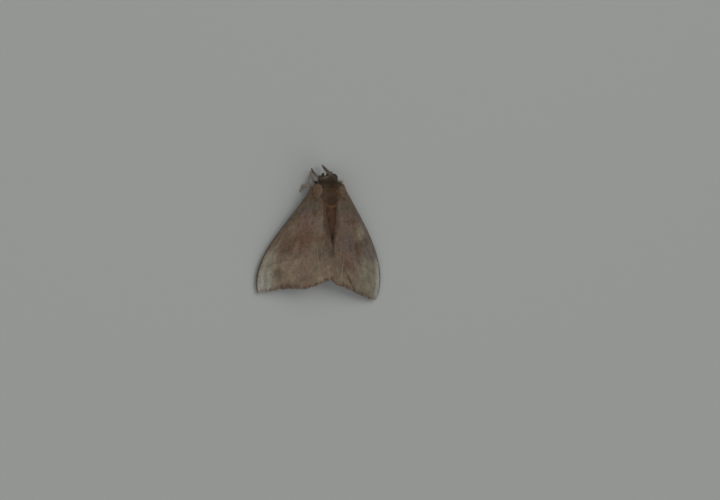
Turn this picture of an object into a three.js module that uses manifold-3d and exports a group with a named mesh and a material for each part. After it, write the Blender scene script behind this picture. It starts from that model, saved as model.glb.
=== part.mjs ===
import * as THREE from "three";
import { mergeVertices } from "three/addons/utils/BufferGeometryUtils.js";
import Module from "manifold-3d";

// A moth at rest, its wings closed over its back like a low roof and its feet on the floor.
// Millimetres. +Z is up, the head points along -Y, and the moth's left side is at +X.
// The pieces are drawn about the body's own middle, and the whole moth is then centred.

// ---- Driving dimensions ----

const FLOOR = 0; // the soles are small flats at this height
const GAP = 0.05; // clearance between neighbouring pieces
const FOOTPRINT_MIDDLE = [0.74, -2.92]; // of the finished moth, as it is drawn
const LEFT = 1;
const RIGHT = -1;
const SIDES = [[LEFT, "left"], [RIGHT, "right"]];

// The left forewing's outline: its corners, and the points that the edges between them bend
// towards. The costa is the front edge, the termen the outer one.
const FOREWING = {
  shoulder: [3.5, -10.6, 2.75], // the costa leaves the body here
  costaNear: [7.45, -4.4, 1.25],
  costaFar: [14.35, 2.4, 0.55],
  apex: [11.65, 8.7, 0.8], // the hooked tip
  termenNear: [10.85, 9.05, 1],
  termenFar: [2.55, 6.8, 3.6],
  tornus: [0, 5.2, 4.55], // the rear corner, on the ridge of the roof
  innerFar: [0.05, 0.6, 4.6],
  innerNear: [1.05, -5.5, 4.2],
  root: [1.2, -8.6, 3.95], // the inner margin leaves the body here
  rootBow: [2.9, -9.4, 3.8], // the wing's root follows the side of the body
};
const WING_THICKNESS = 0.5;
const SPREAD_DEG = 2.6; // the left wing is held this much wider than the mean, the right one less
const RIDGE_X = 0.25; // the wings meet this far to the left of the middle
const CORNERS_X = -0.33; // and their rear corners this far, which is to the right of it
const LAP = 0.42; // each rear corner passes that line by this much
const LAP_LIFT = 0.38; // the left wing's inner margin lies this much above the mean
const CAMBER = 0.45; // the most the wing rises above its flat web
const HOOK_WEAR = 0.5; // the left tip is worn to a deeper hook than the mean, the right one less
const NEAR_BOW = 1.15; // near the body the left costa bows out this much less, the right one more
const FAR_BOW = 0.2; // and this much near the tip

// The outer margin bulges near its rear corner: where along it, how far, and how wide.
const LEFT_LOBE = { at: 0.66, height: 0.85, halfWidth: 0.13 };
const RIGHT_LOBE = { at: 0.86, height: 0.75, halfWidth: 0.12 };

// The hindwing lies under the forewing, between these shares of its length and width.
const HIND_REACH = [0.12, 0.91];
const HIND_BREADTH = [0.26, 0.84];
const HIND_ROUNDING = 0.13;
const HIND_ROOT_FRONT = 0.58; // the front edge leaves the body here, as a share of the width
const HIND_FLARE = 0.5; // and reaches its full width at this share of the length

const BODY_TURN_DEG = 1.6; // the body points this much to the left of the line where the wings meet
const THORAX = { front: -12, back: -6.9, halfWidth: 2.7, up: 2.3, down: 1.95, height: 2.75 };
const THORAX_TAPER = 0.08;
const SHOULDER_PAD = { front: -1.75, back: 1.7, halfWidth: 1.2, up: 1.2, down: 1.1, height: 0 };
const SHOULDER_PAD_PLACE = [2.2, -10.1, 3.15];
const COLLAR = { front: -12.1, back: -10.4, halfWidth: 2.45, up: 1.75, down: 1.5, height: 2.85 };
const ABDOMEN = { front: -7.6, back: 3.6, halfWidth: 2.0, up: 1.5, down: 1.75, height: 2.55 };
const ABDOMEN_DROOP = 0.5; // the tip hangs this much lower than the waist
const ABDOMEN_TAPER = 0.3;

const HEAD = { front: -1.25, back: 1.35, halfWidth: 1.72, up: 1.45, down: 1.35, height: 0 };
const HEAD_TAPER = -0.1;
const HEAD_PLACE = [0, -11.95, 2.75];
const HEAD_TURN_DEG = 8; // the face looks this much to the moth's left
const EYE_RADIUS = 0.74;
const EYE_PLACE = [1.16, -0.42, -0.02]; // from the head's centre, on the left side

const SEGMENT_SIDES = 8;
const SEGMENT_STEPS = 4;

const COLOURS = {
  wing: 0x6b5a49,
  hindwing: 0x7a6a58,
  thorax: 0x4a382b,
  head: 0x2e241c,
  abdomen: 0x4d2c20,
  eye: 0x15100d,
  leg: 0x5c4a3a,
  antenna: 0x3c2f25,
};

// ---- Solids: closed meshes that can be cut by one another ----

const wasm = await Module();
wasm.setup();

function solidOf(geometry) {
  const bare = geometry.clone();
  bare.deleteAttribute("normal");
  bare.deleteAttribute("uv");
  const merged = mergeVertices(bare, 1e-4);
  const mesh = new wasm.Mesh({
    numProp: 3,
    vertProperties: merged.attributes.position.array,
    triVerts: new Uint32Array(merged.index.array),
  });
  return new wasm.Manifold(mesh);
}

function geometryOf(solid) {
  const mesh = solid.getMesh();
  const geometry = new THREE.BufferGeometry();
  geometry.setAttribute("position", new THREE.BufferAttribute(mesh.vertProperties, 3));
  geometry.setIndex(new THREE.BufferAttribute(mesh.triVerts, 1));
  geometry.computeVertexNormals();
  return geometry;
}

// Cuts the neighbours away and keeps the largest piece that is left.
function cutBy(solid, neighbours) {
  const rest = neighbours.reduce((left, neighbour) => left.subtract(neighbour), solid);
  return rest.decompose().reduce((a, b) => (a.volume() > b.volume() ? a : b));
}

// Moves each vertex of a closed geometry to where shape(x, y, z) puts it.
function reshape(geometry, shape) {
  const position = geometry.attributes.position;
  for (let i = 0; i < position.count; i += 1) {
    position.setXYZ(i, ...shape(position.getX(i), position.getY(i), position.getZ(i)));
  }
  return geometry;
}

// The same piece on the other side of the body, with its faces turned to point outwards again.
function mirrored(geometry) {
  const index = geometry.index;
  for (let i = 0; i < index.count; i += 3) {
    const first = index.getX(i);
    index.setX(i, index.getX(i + 1));
    index.setX(i + 1, first);
  }
  return reshape(geometry, (x, y, z) => [-x, y, z]);
}

// ---- Body ----

// A piece of the body, modelled about the YZ plane and then turned with the body.
function bodySolid(geometry) {
  return solidOf(geometry.rotateZ(THREE.MathUtils.degToRad(BODY_TURN_DEG)));
}

// An egg along Y: taper and droop are shares and heights that grow towards its back end.
function egg(size, { grow = 0, taper = 0, droop = 0, columns = 22, rows = 12 } = {}) {
  const length = size.back - size.front + 2 * grow;
  return reshape(new THREE.SphereGeometry(1, columns, rows), (x, y, z) => {
    const along = (y + 1) / 2;
    const slim = 1 - taper * along;
    const depth = z > 0 ? size.up : size.down;
    return [
      x * (size.halfWidth * slim + grow),
      size.front - grow + length * along,
      size.height - droop * along + z * (depth * slim + grow),
    ];
  });
}

// The thorax carries a collar behind the head, and a pad of long scales over each forewing's root.
function thorax(grow = 0) {
  const [x, y, z] = SHOULDER_PAD_PLACE;
  const collar = bodySolid(egg(COLLAR, { grow, columns: 18, rows: 8 }));
  const barrel = bodySolid(egg(THORAX, { grow, taper: THORAX_TAPER })).add(collar);
  return SIDES.reduce((whole, [side]) => {
    const pad = egg(SHOULDER_PAD, { grow, columns: 18, rows: 10 });
    return whole.add(bodySolid(pad.translate(side * x, y, z)));
  }, barrel);
}

function abdomen(grow = 0) {
  return bodySolid(egg(ABDOMEN, { grow, taper: ABDOMEN_TAPER, droop: ABDOMEN_DROOP }));
}

// A piece of the head, modelled round the head's centre and then turned with the face.
function headSolid(geometry) {
  geometry.rotateZ(THREE.MathUtils.degToRad(HEAD_TURN_DEG));
  return bodySolid(geometry.translate(...HEAD_PLACE));
}

function head(grow = 0) {
  return headSolid(egg(HEAD, { grow, taper: HEAD_TAPER, columns: 20 }));
}

function eye(side, grow = 0) {
  const [x, y, z] = EYE_PLACE;
  const ball = new THREE.SphereGeometry(EYE_RADIUS + grow, 12, 9);
  return headSolid(ball.translate(side * x, y, z));
}

// ---- Limbs ----

// A limb is a closed cylinder bent along a smooth curve. radius(t) gives its half-thickness
// from its root (t = 0) to its tip (t = 1), and breadth widens it across the curve.
// No point of it goes below lowest.
function limb(points, radius, { breadth = 1, grow = 0, steps = SEGMENT_STEPS, lowest = -Infinity } = {}) {
  const path = new THREE.CatmullRomCurve3(points.map((point) => new THREE.Vector3(...point)));
  const up = new THREE.Vector3();
  const across = new THREE.Vector3();
  return reshape(new THREE.CylinderGeometry(1, 1, 1, SEGMENT_SIDES, steps), (x, y, z) => {
    const t = THREE.MathUtils.clamp(y + 0.5, 0, 1);
    const tangent = path.getTangentAt(t);
    across.crossVectors(tangent, new THREE.Vector3(0, 0, 1)).normalize();
    up.crossVectors(across, tangent);
    const place = path.getPointAt(t).addScaledVector(tangent, (2 * t - 1) * grow);
    place.addScaledVector(across, x * (radius(t) * breadth + grow));
    place.addScaledVector(up, z * (radius(t) + grow));
    return [place.x, place.y, Math.max(place.z, lowest)];
  });
}

// Half-thickness that swells from root to middle and thins to the tip.
function spindle(root, middle, tip) {
  return (t) => root * (1 - t) * (1 - t) + (4 * middle - root - tip) * t * (1 - t) + tip * t * t;
}

const LEG_PAIRS = [
  {
    name: "fore",
    hip: [1.0, -11.0, 1.3],
    knee: [2.45, -12.05, 1.55],
    ankle: [2.2, -12.95, 0.55],
    toe: [2.1, -13.6, 0.2],
  },
  {
    name: "mid",
    hip: [1.4, -10.1, 1.1],
    knee: [3.1, -10.95, 1.55],
    ankle: [3.8, -11.1, 0.5],
    toe: [4.2, -10.25, 0.2],
  },
  {
    name: "hind",
    hip: [1.2, -8.6, 1.1],
    knee: [2.9, -6.4, 1.45],
    ankle: [3.05, -1.6, 0.6],
    toe: [3.3, 2.6, 0.2],
  },
];

function between(a, b, share, lift = 0) {
  return [0, 1, 2].map((i) => a[i] + (b[i] - a[i]) * share + (i === 2 ? lift : 0));
}

// Each segment arches a little between its joints: from, to, arch, and half-thickness along it.
const LEG_SEGMENTS = [
  { name: "femur", from: "hip", to: "knee", arch: 0.12, radius: spindle(0.42, 0.46, 0.3) },
  { name: "tibia", from: "knee", to: "ankle", arch: 0.1, radius: spindle(0.3, 0.38, 0.3) },
  { name: "tarsus", from: "ankle", to: "toe", arch: -0.12, radius: spindle(0.27, 0.27, 0.25) },
];

function legSegment(leg, segment, side, grow = 0) {
  const ends = [leg[segment.from], leg[segment.to]];
  const middle = between(...ends, 0.5, segment.arch);
  const points = [ends[0], middle, ends[1]].map(([x, y, z]) => [side * x, y, z]);
  return bodySolid(limb(points, segment.radius, { grow, lowest: FLOOR }));
}

// ---- Wings ----

function vector([x, y, z]) {
  return new THREE.Vector3(x, y, z);
}

// Both wings are drawn as left ones, in plan turned about a centre by so many degrees.
function turnedAbout(centre, point, degrees) {
  const angle = THREE.MathUtils.degToRad(degrees);
  return vector(point).sub(centre).applyAxisAngle(new THREE.Vector3(0, 0, 1), angle).add(centre);
}

// A point of the free part of the wing, which opens or closes about the shoulder.
function swung(point, side) {
  return turnedAbout(vector(FOREWING.shoulder), point, -side * SPREAD_DEG);
}

// A point of the wing's root, which turns with the body.
function onBody(point, side) {
  return turnedAbout(vector([0, 0, 0]), point, side * BODY_TURN_DEG);
}

// The four edges of a forewing. Each inner margin passes the ridge, the left one above the right.
function wingEdges(side) {
  const { costaNear, costaFar, termenNear, termenFar, innerNear, innerFar, rootBow } = FOREWING;
  const shoulder = onBody(FOREWING.shoulder, side);
  const root = onBody(FOREWING.root, side);
  const apex = swung(FOREWING.apex, side);
  const near = swung(costaNear, side).add(vector([-side * NEAR_BOW, 0, 0]));
  const far = swung(costaFar, side).add(vector([-side * FAR_BOW, 0, 0]));
  const tornus = vector(FOREWING.tornus).add(vector([side * CORNERS_X - LAP, 0, side * LAP_LIFT]));
  const hook = swung(termenNear, side).add(vector([0, -side * HOOK_WEAR, 0]));
  const slope = vector(termenFar).add(vector([0, 0, (side * LAP_LIFT) / 2]));
  const inner = vector(innerFar).add(vector([side * RIDGE_X, 0, side * LAP_LIFT]));
  return {
    costa: new THREE.CubicBezierCurve3(shoulder, near, far, apex),
    termen: new THREE.CubicBezierCurve3(apex, hook, slope, tornus),
    inner: new THREE.CubicBezierCurve3(root, onBody(innerNear, side), inner, tornus),
    base: new THREE.QuadraticBezierCurve3(shoulder, onBody(rootBow, side), root),
    lobe: side === LEFT ? LEFT_LOBE : RIGHT_LOBE,
  };
}

// The wing's upper face: the smooth patch between its four edges, raised by the camber.
// u runs from the body to the outer margin, v from the front edge to the inner margin.
function wingPoint(edges, u, v) {
  const { costa, termen, inner, base, lobe } = edges;
  const point = costa.getPoint(u).multiplyScalar(1 - v);
  point.addScaledVector(inner.getPoint(u), v);
  point.addScaledVector(base.getPoint(v), 1 - u);
  point.addScaledVector(termen.getPoint(v), u);
  point.addScaledVector(costa.v0, -(1 - u) * (1 - v));
  point.addScaledVector(costa.v3, -u * (1 - v));
  point.addScaledVector(inner.v0, -(1 - u) * v);
  point.addScaledVector(inner.v3, -u * v);
  point.y += lobe.height * u ** 6 * Math.exp(-(((v - lobe.at) / lobe.halfWidth) ** 2));
  point.z += CAMBER * 16 * u * (1 - u) * v * (1 - v);
  return point;
}

function wingNormal(edges, u, v) {
  const step = 0.01;
  const alongU = wingPoint(edges, u + step, v).sub(wingPoint(edges, u - step, v));
  const alongV = wingPoint(edges, u, v + step).sub(wingPoint(edges, u, v - step));
  return alongU.cross(alongV).normalize();
}

// A sheet that hangs depth below the wing's upper face, over the part of it that pick() gives.
function wingSheet(side, columns, rows, depth, pick) {
  const edges = wingEdges(side);
  const sheet = reshape(new THREE.BoxGeometry(1, 1, 1, columns, rows, 1), (x, y, z) => {
    const [u, v] = pick(x + 0.5, y + 0.5);
    const below = depth + (0.5 - z) * WING_THICKNESS;
    return wingPoint(edges, u, v).addScaledVector(wingNormal(edges, u, v), -below).toArray();
  });
  return solidOf(side === LEFT ? sheet : mirrored(sheet));
}

function forewing(side) {
  return wingSheet(side, 20, 10, 0, (u, v) => [u, v]);
}

function hindwing(side) {
  return wingSheet(side, 12, 8, WING_THICKNESS + GAP, (a, b) => {
    const rounding = 1 - HIND_ROUNDING * a * (2 * b - 1) ** 2;
    const u = THREE.MathUtils.lerp(...HIND_REACH, a) * rounding;
    const flare = THREE.MathUtils.smoothstep(a, 0, HIND_FLARE);
    const front = THREE.MathUtils.lerp(HIND_ROOT_FRONT, HIND_BREADTH[0], flare);
    return [u, THREE.MathUtils.lerp(front, HIND_BREADTH[1], b)];
  });
}

// ---- Feelers and palps ----

// The feelers droop forwards and are both swung to the moth's left.
const ANTENNAE = {
  left: [
    [0.85, -12.65, 3.75],
    [1.6, -12.3, 3.9],
    [2.45, -12.4, 3.25],
    [2.85, -13.25, 2.1],
    [2.75, -14.1, 1.0],
  ],
  right: [
    [-0.25, -12.65, 3.7],
    [0.35, -13.1, 3.6],
    [0.7, -13.75, 2.85],
    [0.8, -14.35, 2.0],
    [0.75, -14.8, 1.2],
  ],
};

function antenna(sideName) {
  return solidOf(limb(ANTENNAE[sideName], spindle(0.3, 0.3, 0.25), { breadth: 1.6, steps: 12 }));
}

function palp(side) {
  const points = [
    [side * 0.42, -0.85, -0.85],
    [side * 0.46, -1.2, -0.85],
    [side * 0.44, -1.5, -0.65],
  ];
  return headSolid(limb(points, spindle(0.3, 0.32, 0.25), { steps: 5 }));
}

// ---- Assembly ----

const moth = new THREE.Group();

function add(name, solid, colour, roughness = 0.85) {
  const material = new THREE.MeshStandardMaterial({ color: colour, roughness, metalness: 0 });
  const mesh = new THREE.Mesh(geometryOf(solid), material);
  mesh.name = name;
  moth.add(mesh);
}

const thoraxSpace = thorax(GAP);
const headSpace = head(GAP);
const abdomenSpace = abdomen(GAP);

add("thorax", thorax(), COLOURS.thorax);
add("abdomen", cutBy(abdomen(), [thoraxSpace]), COLOURS.abdomen);

const eyeSpaces = SIDES.map(([side]) => eye(side, GAP));
add("head", cutBy(head(), [thoraxSpace, ...eyeSpaces]), COLOURS.head);

for (const [side, sideName] of SIDES) {
  add(`eye_${sideName}`, cutBy(eye(side), [thoraxSpace]), COLOURS.eye, 0.25);
  const faceSpace = [headSpace, ...eyeSpaces, thoraxSpace];
  add(`antenna_${sideName}`, cutBy(antenna(sideName), faceSpace), COLOURS.antenna);
  add(`palp_${sideName}`, cutBy(palp(side), faceSpace), COLOURS.head);
  add(`forewing_${sideName}`, cutBy(forewing(side), [thoraxSpace, abdomenSpace]), COLOURS.wing);
  add(`hindwing_${sideName}`, cutBy(hindwing(side), [thoraxSpace, abdomenSpace]), COLOURS.hindwing);
}

for (const leg of LEG_PAIRS) {
  for (const [side, sideName] of SIDES) {
    let above = thoraxSpace;
    for (const segment of LEG_SEGMENTS) {
      const neighbours = [above, headSpace, abdomenSpace];
      const solid = cutBy(legSegment(leg, segment, side), neighbours);
      add(`${leg.name}leg_${segment.name}_${sideName}`, solid, COLOURS.leg);
      above = legSegment(leg, segment, side, GAP);
    }
  }
}

// The origin is on the floor, under the middle of the moth's bounding box.
moth.position.set(-FOOTPRINT_MIDDLE[0], -FOOTPRINT_MIDDLE[1], FLOOR);

export default moth;
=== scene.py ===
# %% [markdown]
# # A moth at rest, life size
#
# This lesson models a brown, hook-tipped moth that rests with its wings closed over its back like
# a low roof. A moth is a soft body under two kinds of cover: hair on the body, and thousands of
# flat scales, laid like roof tiles, on the wings. Each scale has a single colour, and the pattern
# of a wing is a mosaic of them. So the lesson makes the bare animal first and plants a coat on it.
#
# The solids of the frame are only carried over here: they say where each piece goes. The lesson
# models in millimetres, because an insect measured in metres has awkwardly small numbers, and each
# finished mesh is scaled to metres as it is put in the scene.

# %% Load the frame
import math
from collections import namedtuple

import bmesh
import bpy
import numpy as np
from mathutils import Matrix, Vector
from mathutils.bvhtree import BVHTree
from mathutils.kdtree import KDTree


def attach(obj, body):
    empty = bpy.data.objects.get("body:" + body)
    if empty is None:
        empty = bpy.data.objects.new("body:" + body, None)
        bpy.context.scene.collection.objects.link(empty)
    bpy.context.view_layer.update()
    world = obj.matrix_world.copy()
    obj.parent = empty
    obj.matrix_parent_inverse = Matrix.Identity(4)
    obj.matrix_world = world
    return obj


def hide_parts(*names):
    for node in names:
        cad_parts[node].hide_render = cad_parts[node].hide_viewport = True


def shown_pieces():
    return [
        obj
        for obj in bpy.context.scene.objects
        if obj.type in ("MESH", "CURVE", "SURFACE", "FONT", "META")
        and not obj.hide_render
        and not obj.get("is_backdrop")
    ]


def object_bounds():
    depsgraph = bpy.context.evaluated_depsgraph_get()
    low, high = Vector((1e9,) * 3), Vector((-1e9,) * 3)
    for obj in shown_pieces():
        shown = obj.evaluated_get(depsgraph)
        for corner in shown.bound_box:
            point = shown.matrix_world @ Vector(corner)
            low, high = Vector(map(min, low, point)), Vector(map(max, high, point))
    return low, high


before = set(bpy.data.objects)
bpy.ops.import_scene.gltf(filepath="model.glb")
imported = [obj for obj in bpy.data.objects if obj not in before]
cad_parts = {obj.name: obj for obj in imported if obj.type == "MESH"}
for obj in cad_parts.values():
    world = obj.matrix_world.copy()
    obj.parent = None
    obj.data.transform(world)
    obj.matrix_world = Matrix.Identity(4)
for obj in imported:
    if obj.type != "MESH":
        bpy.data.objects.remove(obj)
cad_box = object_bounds()
MM = 0.001
LEFT, RIGHT = 1, -1
SIDES = ((LEFT, "left"), (RIGHT, "right"))
UP = np.array([0.0, 0.0, 1.0])
cad_size = [round(c / MM, 2) for c in cad_box[1] - cad_box[0]]
print("frame loaded:", len(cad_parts), "solids, size in mm", cad_size)

# %% [markdown]
# ## Where things are
#
# The moth is drawn about its own middle, looking along -Y, and then shifted so that the middle of
# its footprint is the origin. The body points a little to the left of the line where the wings
# meet, and the head is turned a little more, as in a live insect. Every body piece is drawn
# straight and passed through `on_body` or `on_head`, which is easier than drawing it turned.

# %% Places on the body and the head
FOOTPRINT_MIDDLE = np.array([0.74, -2.92, 0.0])
BODY_TURN_DEG = 1.6
HEAD_TURN_DEG = 8
HEAD_PLACE = np.array([0.0, -11.95, 2.75])


def turned(points, degrees, centre=(0, 0, 0)):
    """Points turned in plan about a centre."""
    angle = math.radians(degrees)
    cos, sin = math.cos(angle), math.sin(angle)
    spin = np.array([[cos, -sin, 0], [sin, cos, 0], [0, 0, 1]])
    return (np.asarray(points, float) - centre) @ spin.T + centre


def on_body(points):
    return turned(points, BODY_TURN_DEG) - FOOTPRINT_MIDDLE


def on_head(points):
    return on_body(turned(points, HEAD_TURN_DEG) + HEAD_PLACE)


def as_drawn(points):
    return np.asarray(points, float) - FOOTPRINT_MIDDLE


print("head's centre", on_body([HEAD_PLACE])[0].round(2))


# %% Into the scene
def placed(name, data):
    """Puts a mesh, a lamp or a camera in the scene as an object."""
    thing = bpy.data.objects.new(name, data)
    bpy.context.scene.collection.objects.link(thing)
    return thing


def as_mesh(bm, name):
    """A mesh with the geometry of a bmesh, which is used up."""
    mesh = bpy.data.meshes.new(name)
    bm.to_mesh(mesh)
    bm.free()
    return mesh


# %% [markdown]
# ## The camera and the light
#
# The camera looks down on the moth, from 28 degrees to its left, with the head at the top of the
# picture. Its up direction is worked out from the moth's own: forwards is up. The light is soft
# and dim, from large panels, so that the scales show by their colour more than by their gloss.

# %% Camera
AIM = Vector((-8.509, 2.92, 0))  # the middle of the picture, on the floor
CAMERA_DISTANCE = 306
LEAN_DEG, PITCH_DEG, ROLL_DEG = 28, 1.68, 1.15
LENS = 85
CLIP_METRES = (0.01, 10)

lean, pitch, roll = (math.radians(angle) for angle in (LEAN_DEG, PITCH_DEG, ROLL_DEG))
towards = Vector((math.sin(lean), math.sin(pitch) * math.cos(lean), math.cos(lean) * math.cos(pitch)))
towards.normalize()
forwards = Vector((0, -1, 0))
picture_up = (forwards - towards * forwards.dot(towards)).normalized()
picture_right = picture_up.cross(towards)
right = picture_right * math.cos(roll) + picture_up * math.sin(roll)
up = picture_up * math.cos(roll) - picture_right * math.sin(roll)
camera_data = bpy.data.cameras.new("camera")
camera_data.lens = LENS
camera_data.clip_start, camera_data.clip_end = CLIP_METRES
camera = placed("camera", camera_data)
turn = Matrix((right, up, towards)).transposed().to_4x4()
camera.matrix_world = Matrix.Translation((AIM + towards * CAMERA_DISTANCE) * MM) @ turn
bpy.context.scene.camera = camera
print("camera at", [round(c, 3) for c in camera.location])

# %% Light and floor
PANELS = (  # place in mm, size in mm, watts, colour
    ((-120, -220, 430), 420, 0.62, (1.0, 0.985, 0.96)),
    ((330, 120, 320), 340, 0.32, (0.97, 0.99, 1.0)),
    ((-250, 330, 240), 340, 0.24, (1.0, 1.0, 1.0)),
)
SKY, SKY_STRENGTH = (0.92, 0.93, 0.93, 1), 0.15
FLOOR_GREY, FLOOR_ROUGHNESS = (0.66, 0.68, 0.665, 1), 0.7
FLOOR_HALF_METRES = 2

for place, size, watts, colour in PANELS:
    panel = bpy.data.lights.new("panel", "AREA")
    panel.size, panel.energy, panel.color = size * MM, watts, colour
    lamp = placed("panel", panel)
    lamp.location = Vector(place) * MM
    lamp.rotation_euler = (-Vector(place)).to_track_quat("-Z", "Y").to_euler()

world = bpy.data.worlds.new("room")
world.use_nodes = True
sky = world.node_tree.nodes["Background"].inputs
sky["Color"].default_value = SKY
sky["Strength"].default_value = SKY_STRENGTH
bpy.context.scene.world = world
bpy.context.scene.view_settings.view_transform = "Standard"

floor_bm = bmesh.new()
bmesh.ops.create_grid(floor_bm, x_segments=1, y_segments=1, size=FLOOR_HALF_METRES)
floor = placed("floor", as_mesh(floor_bm, "floor"))
floor_paint = bpy.data.materials.new("pale_floor")
floor_paint.use_nodes = True
floor_look = floor_paint.node_tree.nodes["Principled BSDF"].inputs
floor_look["Base Color"].default_value = FLOOR_GREY
floor_look["Roughness"].default_value = FLOOR_ROUGHNESS
floor.data.materials.append(floor_paint)
floor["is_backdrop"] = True
print("lights:", len(PANELS), "panels and a dim room")

# %% [markdown]
# ## Tools of the workshop
#
# A bmesh operator makes each simple shape. `reshape` then moves all of its vertices at once: it
# hands their places over as one array, which is fast and keeps the formulas short. Smooth curves
# carry the legs and the feelers: a tube of unit size is made once and bent along a curve.


# %% Shapes from bmesh
def reshape(bm, shape):
    """Moves every vertex: shape takes the array of places and gives the new one."""
    places = shape(np.array([vert.co for vert in bm.verts]))
    for vert, place in zip(bm.verts, places):
        vert.co = place
    return bm


def pour(source, target):
    """Adds one bmesh's geometry to another."""
    mesh = as_mesh(source, "pour")
    target.from_mesh(mesh)
    bpy.data.meshes.remove(mesh)


def unit(vectors):
    return vectors / np.linalg.norm(vectors, axis=-1, keepdims=True)


def mix(a, b, share):
    return a + (b - a) * share


def smooth(share):
    """Eases from 0 to 1."""
    share = np.clip(share, 0, 1)
    return share * share * (3 - 2 * share)


def put_in_scene(mesh, slot, *nodes):
    """Links a mesh that is already in metres, and hides the solids that it stands for. The slot is not
    used.
    """
    piece = placed(mesh.name, mesh)
    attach(piece, "root")
    if nodes:
        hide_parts(*nodes)
    print(f"{piece.name}: {len(mesh.polygons)} faces")
    return piece


def finished(bm, name, materials):
    """Turns a bmesh in mm into a smooth-shaded mesh in metres."""
    bmesh.ops.scale(bm, vec=(MM, MM, MM), verts=bm.verts)
    mesh = as_mesh(bm, name)
    mesh.shade_smooth()
    for material in materials:
        mesh.materials.append(material)
    return mesh


# %% Curves and limbs
CURVE_PLACES = 80


def smooth_curve(points):
    """Evenly spaced places on a curve that passes smoothly through a few points."""
    knots = np.asarray(points, float)
    knots = np.vstack([2 * knots[0] - knots[1], knots, 2 * knots[-1] - knots[-2]])
    t = np.linspace(0, 1, CURVE_PLACES, endpoint=False)[:, None]
    spans = []
    for a, b, c, d in zip(knots, knots[1:], knots[2:], knots[3:]):
        slope, bend, twist = c - a, 2 * a - 5 * b + 4 * c - d, 3 * b - a - 3 * c + d
        spans.append(b + 0.5 * (slope * t + bend * t**2 + twist * t**3))
    route = np.vstack([*spans, knots[-2]])
    travelled = np.r_[0, np.cumsum(np.linalg.norm(np.diff(route, axis=0), axis=1))]
    even = np.linspace(0, travelled[-1], CURVE_PLACES)
    return np.stack([np.interp(even, travelled, route[:, k]) for k in range(3)], axis=1)


def along_curve(curve, t):
    """Places on an evenly spaced curve at shares t of its length, and its direction there."""
    steps = np.linspace(0, 1, len(curve))
    slope = np.gradient(curve, axis=0)
    place = np.stack([np.interp(t, steps, curve[:, k]) for k in range(3)], axis=-1)
    way = np.stack([np.interp(t, steps, slope[:, k]) for k in range(3)], axis=-1)
    return place, unit(way)


def cross_at(curve, t):
    """One place on a curve, with the direction along it there and the level one across it."""
    place, way = along_curve(curve, np.array([t]))
    return place, way, unit(np.cross(way, UP))


def spindle(root, middle, tip):
    """Half-thickness that swells from root to middle and thins to the tip."""
    return lambda t: root * (1 - t) ** 2 + (4 * middle - root - tip) * t * (1 - t) + tip * t**2


def cut_across(bm, cuts):
    """Cuts the edges that run the length of a tube or a cone."""
    long_edges = [e for e in bm.edges if abs(e.verts[0].co.z - e.verts[1].co.z) > 0.5]
    bmesh.ops.subdivide_edges(bm, edges=long_edges, cuts=cuts)


def limb(points, radius, sides, steps):
    """A closed tube along a curve, as a bmesh. radius(t) is its half-thickness along it."""
    bm = bmesh.new()
    bmesh.ops.create_cone(bm, cap_ends=True, segments=sides, radius1=1, radius2=1, depth=1)
    cut_across(bm, steps - 1)
    curve = smooth_curve(points)

    def bend(tube):
        t = tube[:, 2] + 0.5
        place, way = along_curve(curve, t)
        across = unit(np.cross(way, UP))
        down = np.cross(way, across)
        return place + (across * tube[:, :1] + down * tube[:, 1:2]) * radius(t)[:, None]

    return reshape(bm, bend)


# %% [markdown]
# ## Planting a coat
#
# A moth's coat is made of two shapes. A **scale** is a flat shield with a narrow stalk: here a low
# cone of seven sides, whose broad face looks up. A **lock** is a few hairs stuck together: here a
# three-sided spike, thickest halfway along. Each is made once, with an operator, and `plant` then
# copies it to all its roots with array arithmetic, as one joined mesh. Particle hair could do the
# same, but it isn't real geometry, so it wouldn't outlive an export.
#
# Every copy keeps two things of its root. The map `plan` holds the root's place on the pattern, so
# that a whole scale takes one colour. The map `OFBake` lays the copy as a tiny patch at its root's
# place on the unwrapped skin, so that the colours can be baked to a picture. Two attributes add
# variety: `tone` differs from copy to copy, and `reach` runs from root to tip.

# %% One scale and one lock
Tuft = namedtuple("Tuft", "places triangles smooth")
Roots = namedtuple("Roots", "place lie up plan bake")
Coat = namedtuple("Coat", "places triangles smooth bake plan tone reach")
BAKE_PATCH = 0.003  # the size of a copy's patch on the unwrapped skin
SHIELD_WIDENING, SHIELD_CROWN = 1.6, 0.4  # how fast a scale widens, and how far its middle rises
LOCK_ROOT, LOCK_SWELL, LOCK_POINT = 0.45, 1.6, 0.3  # width at the root, and how a lock bellies out


def as_tuft(bm, smooth_shaded):
    bmesh.ops.triangulate(bm, faces=bm.faces)
    bm.verts.index_update()
    places = np.array([vert.co for vert in bm.verts])
    triangles = np.array([[vert.index for vert in face.verts] for face in bm.faces])
    bm.free()
    return Tuft(places, triangles, smooth_shaded)


def unit_cone(sides, **cap):
    bm = bmesh.new()
    bmesh.ops.create_cone(bm, cap_ends=True, **cap, segments=sides, radius1=0.5, radius2=0, depth=1)
    bmesh.ops.remove_doubles(bm, verts=bm.verts, dist=0.01)
    return bm


def make_scale(sides, stalk):
    """A shield one unit wide and long, with its stalk at the origin and its keel below."""
    bm = unit_cone(sides, cap_tris=True)

    def shape(cone):
        along = cone[:, 1] + 0.5
        width = mix(stalk, 1, smooth(along * SHIELD_WIDENING))
        crown = SHIELD_CROWN * (1 - 2 * np.hypot(cone[:, 0], cone[:, 1]))
        below = cone[:, 2] > 0
        return np.stack([cone[:, 0] * width, along, np.where(below, -0.5, crown)], axis=1)

    return as_tuft(reshape(bm, shape), False)


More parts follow.
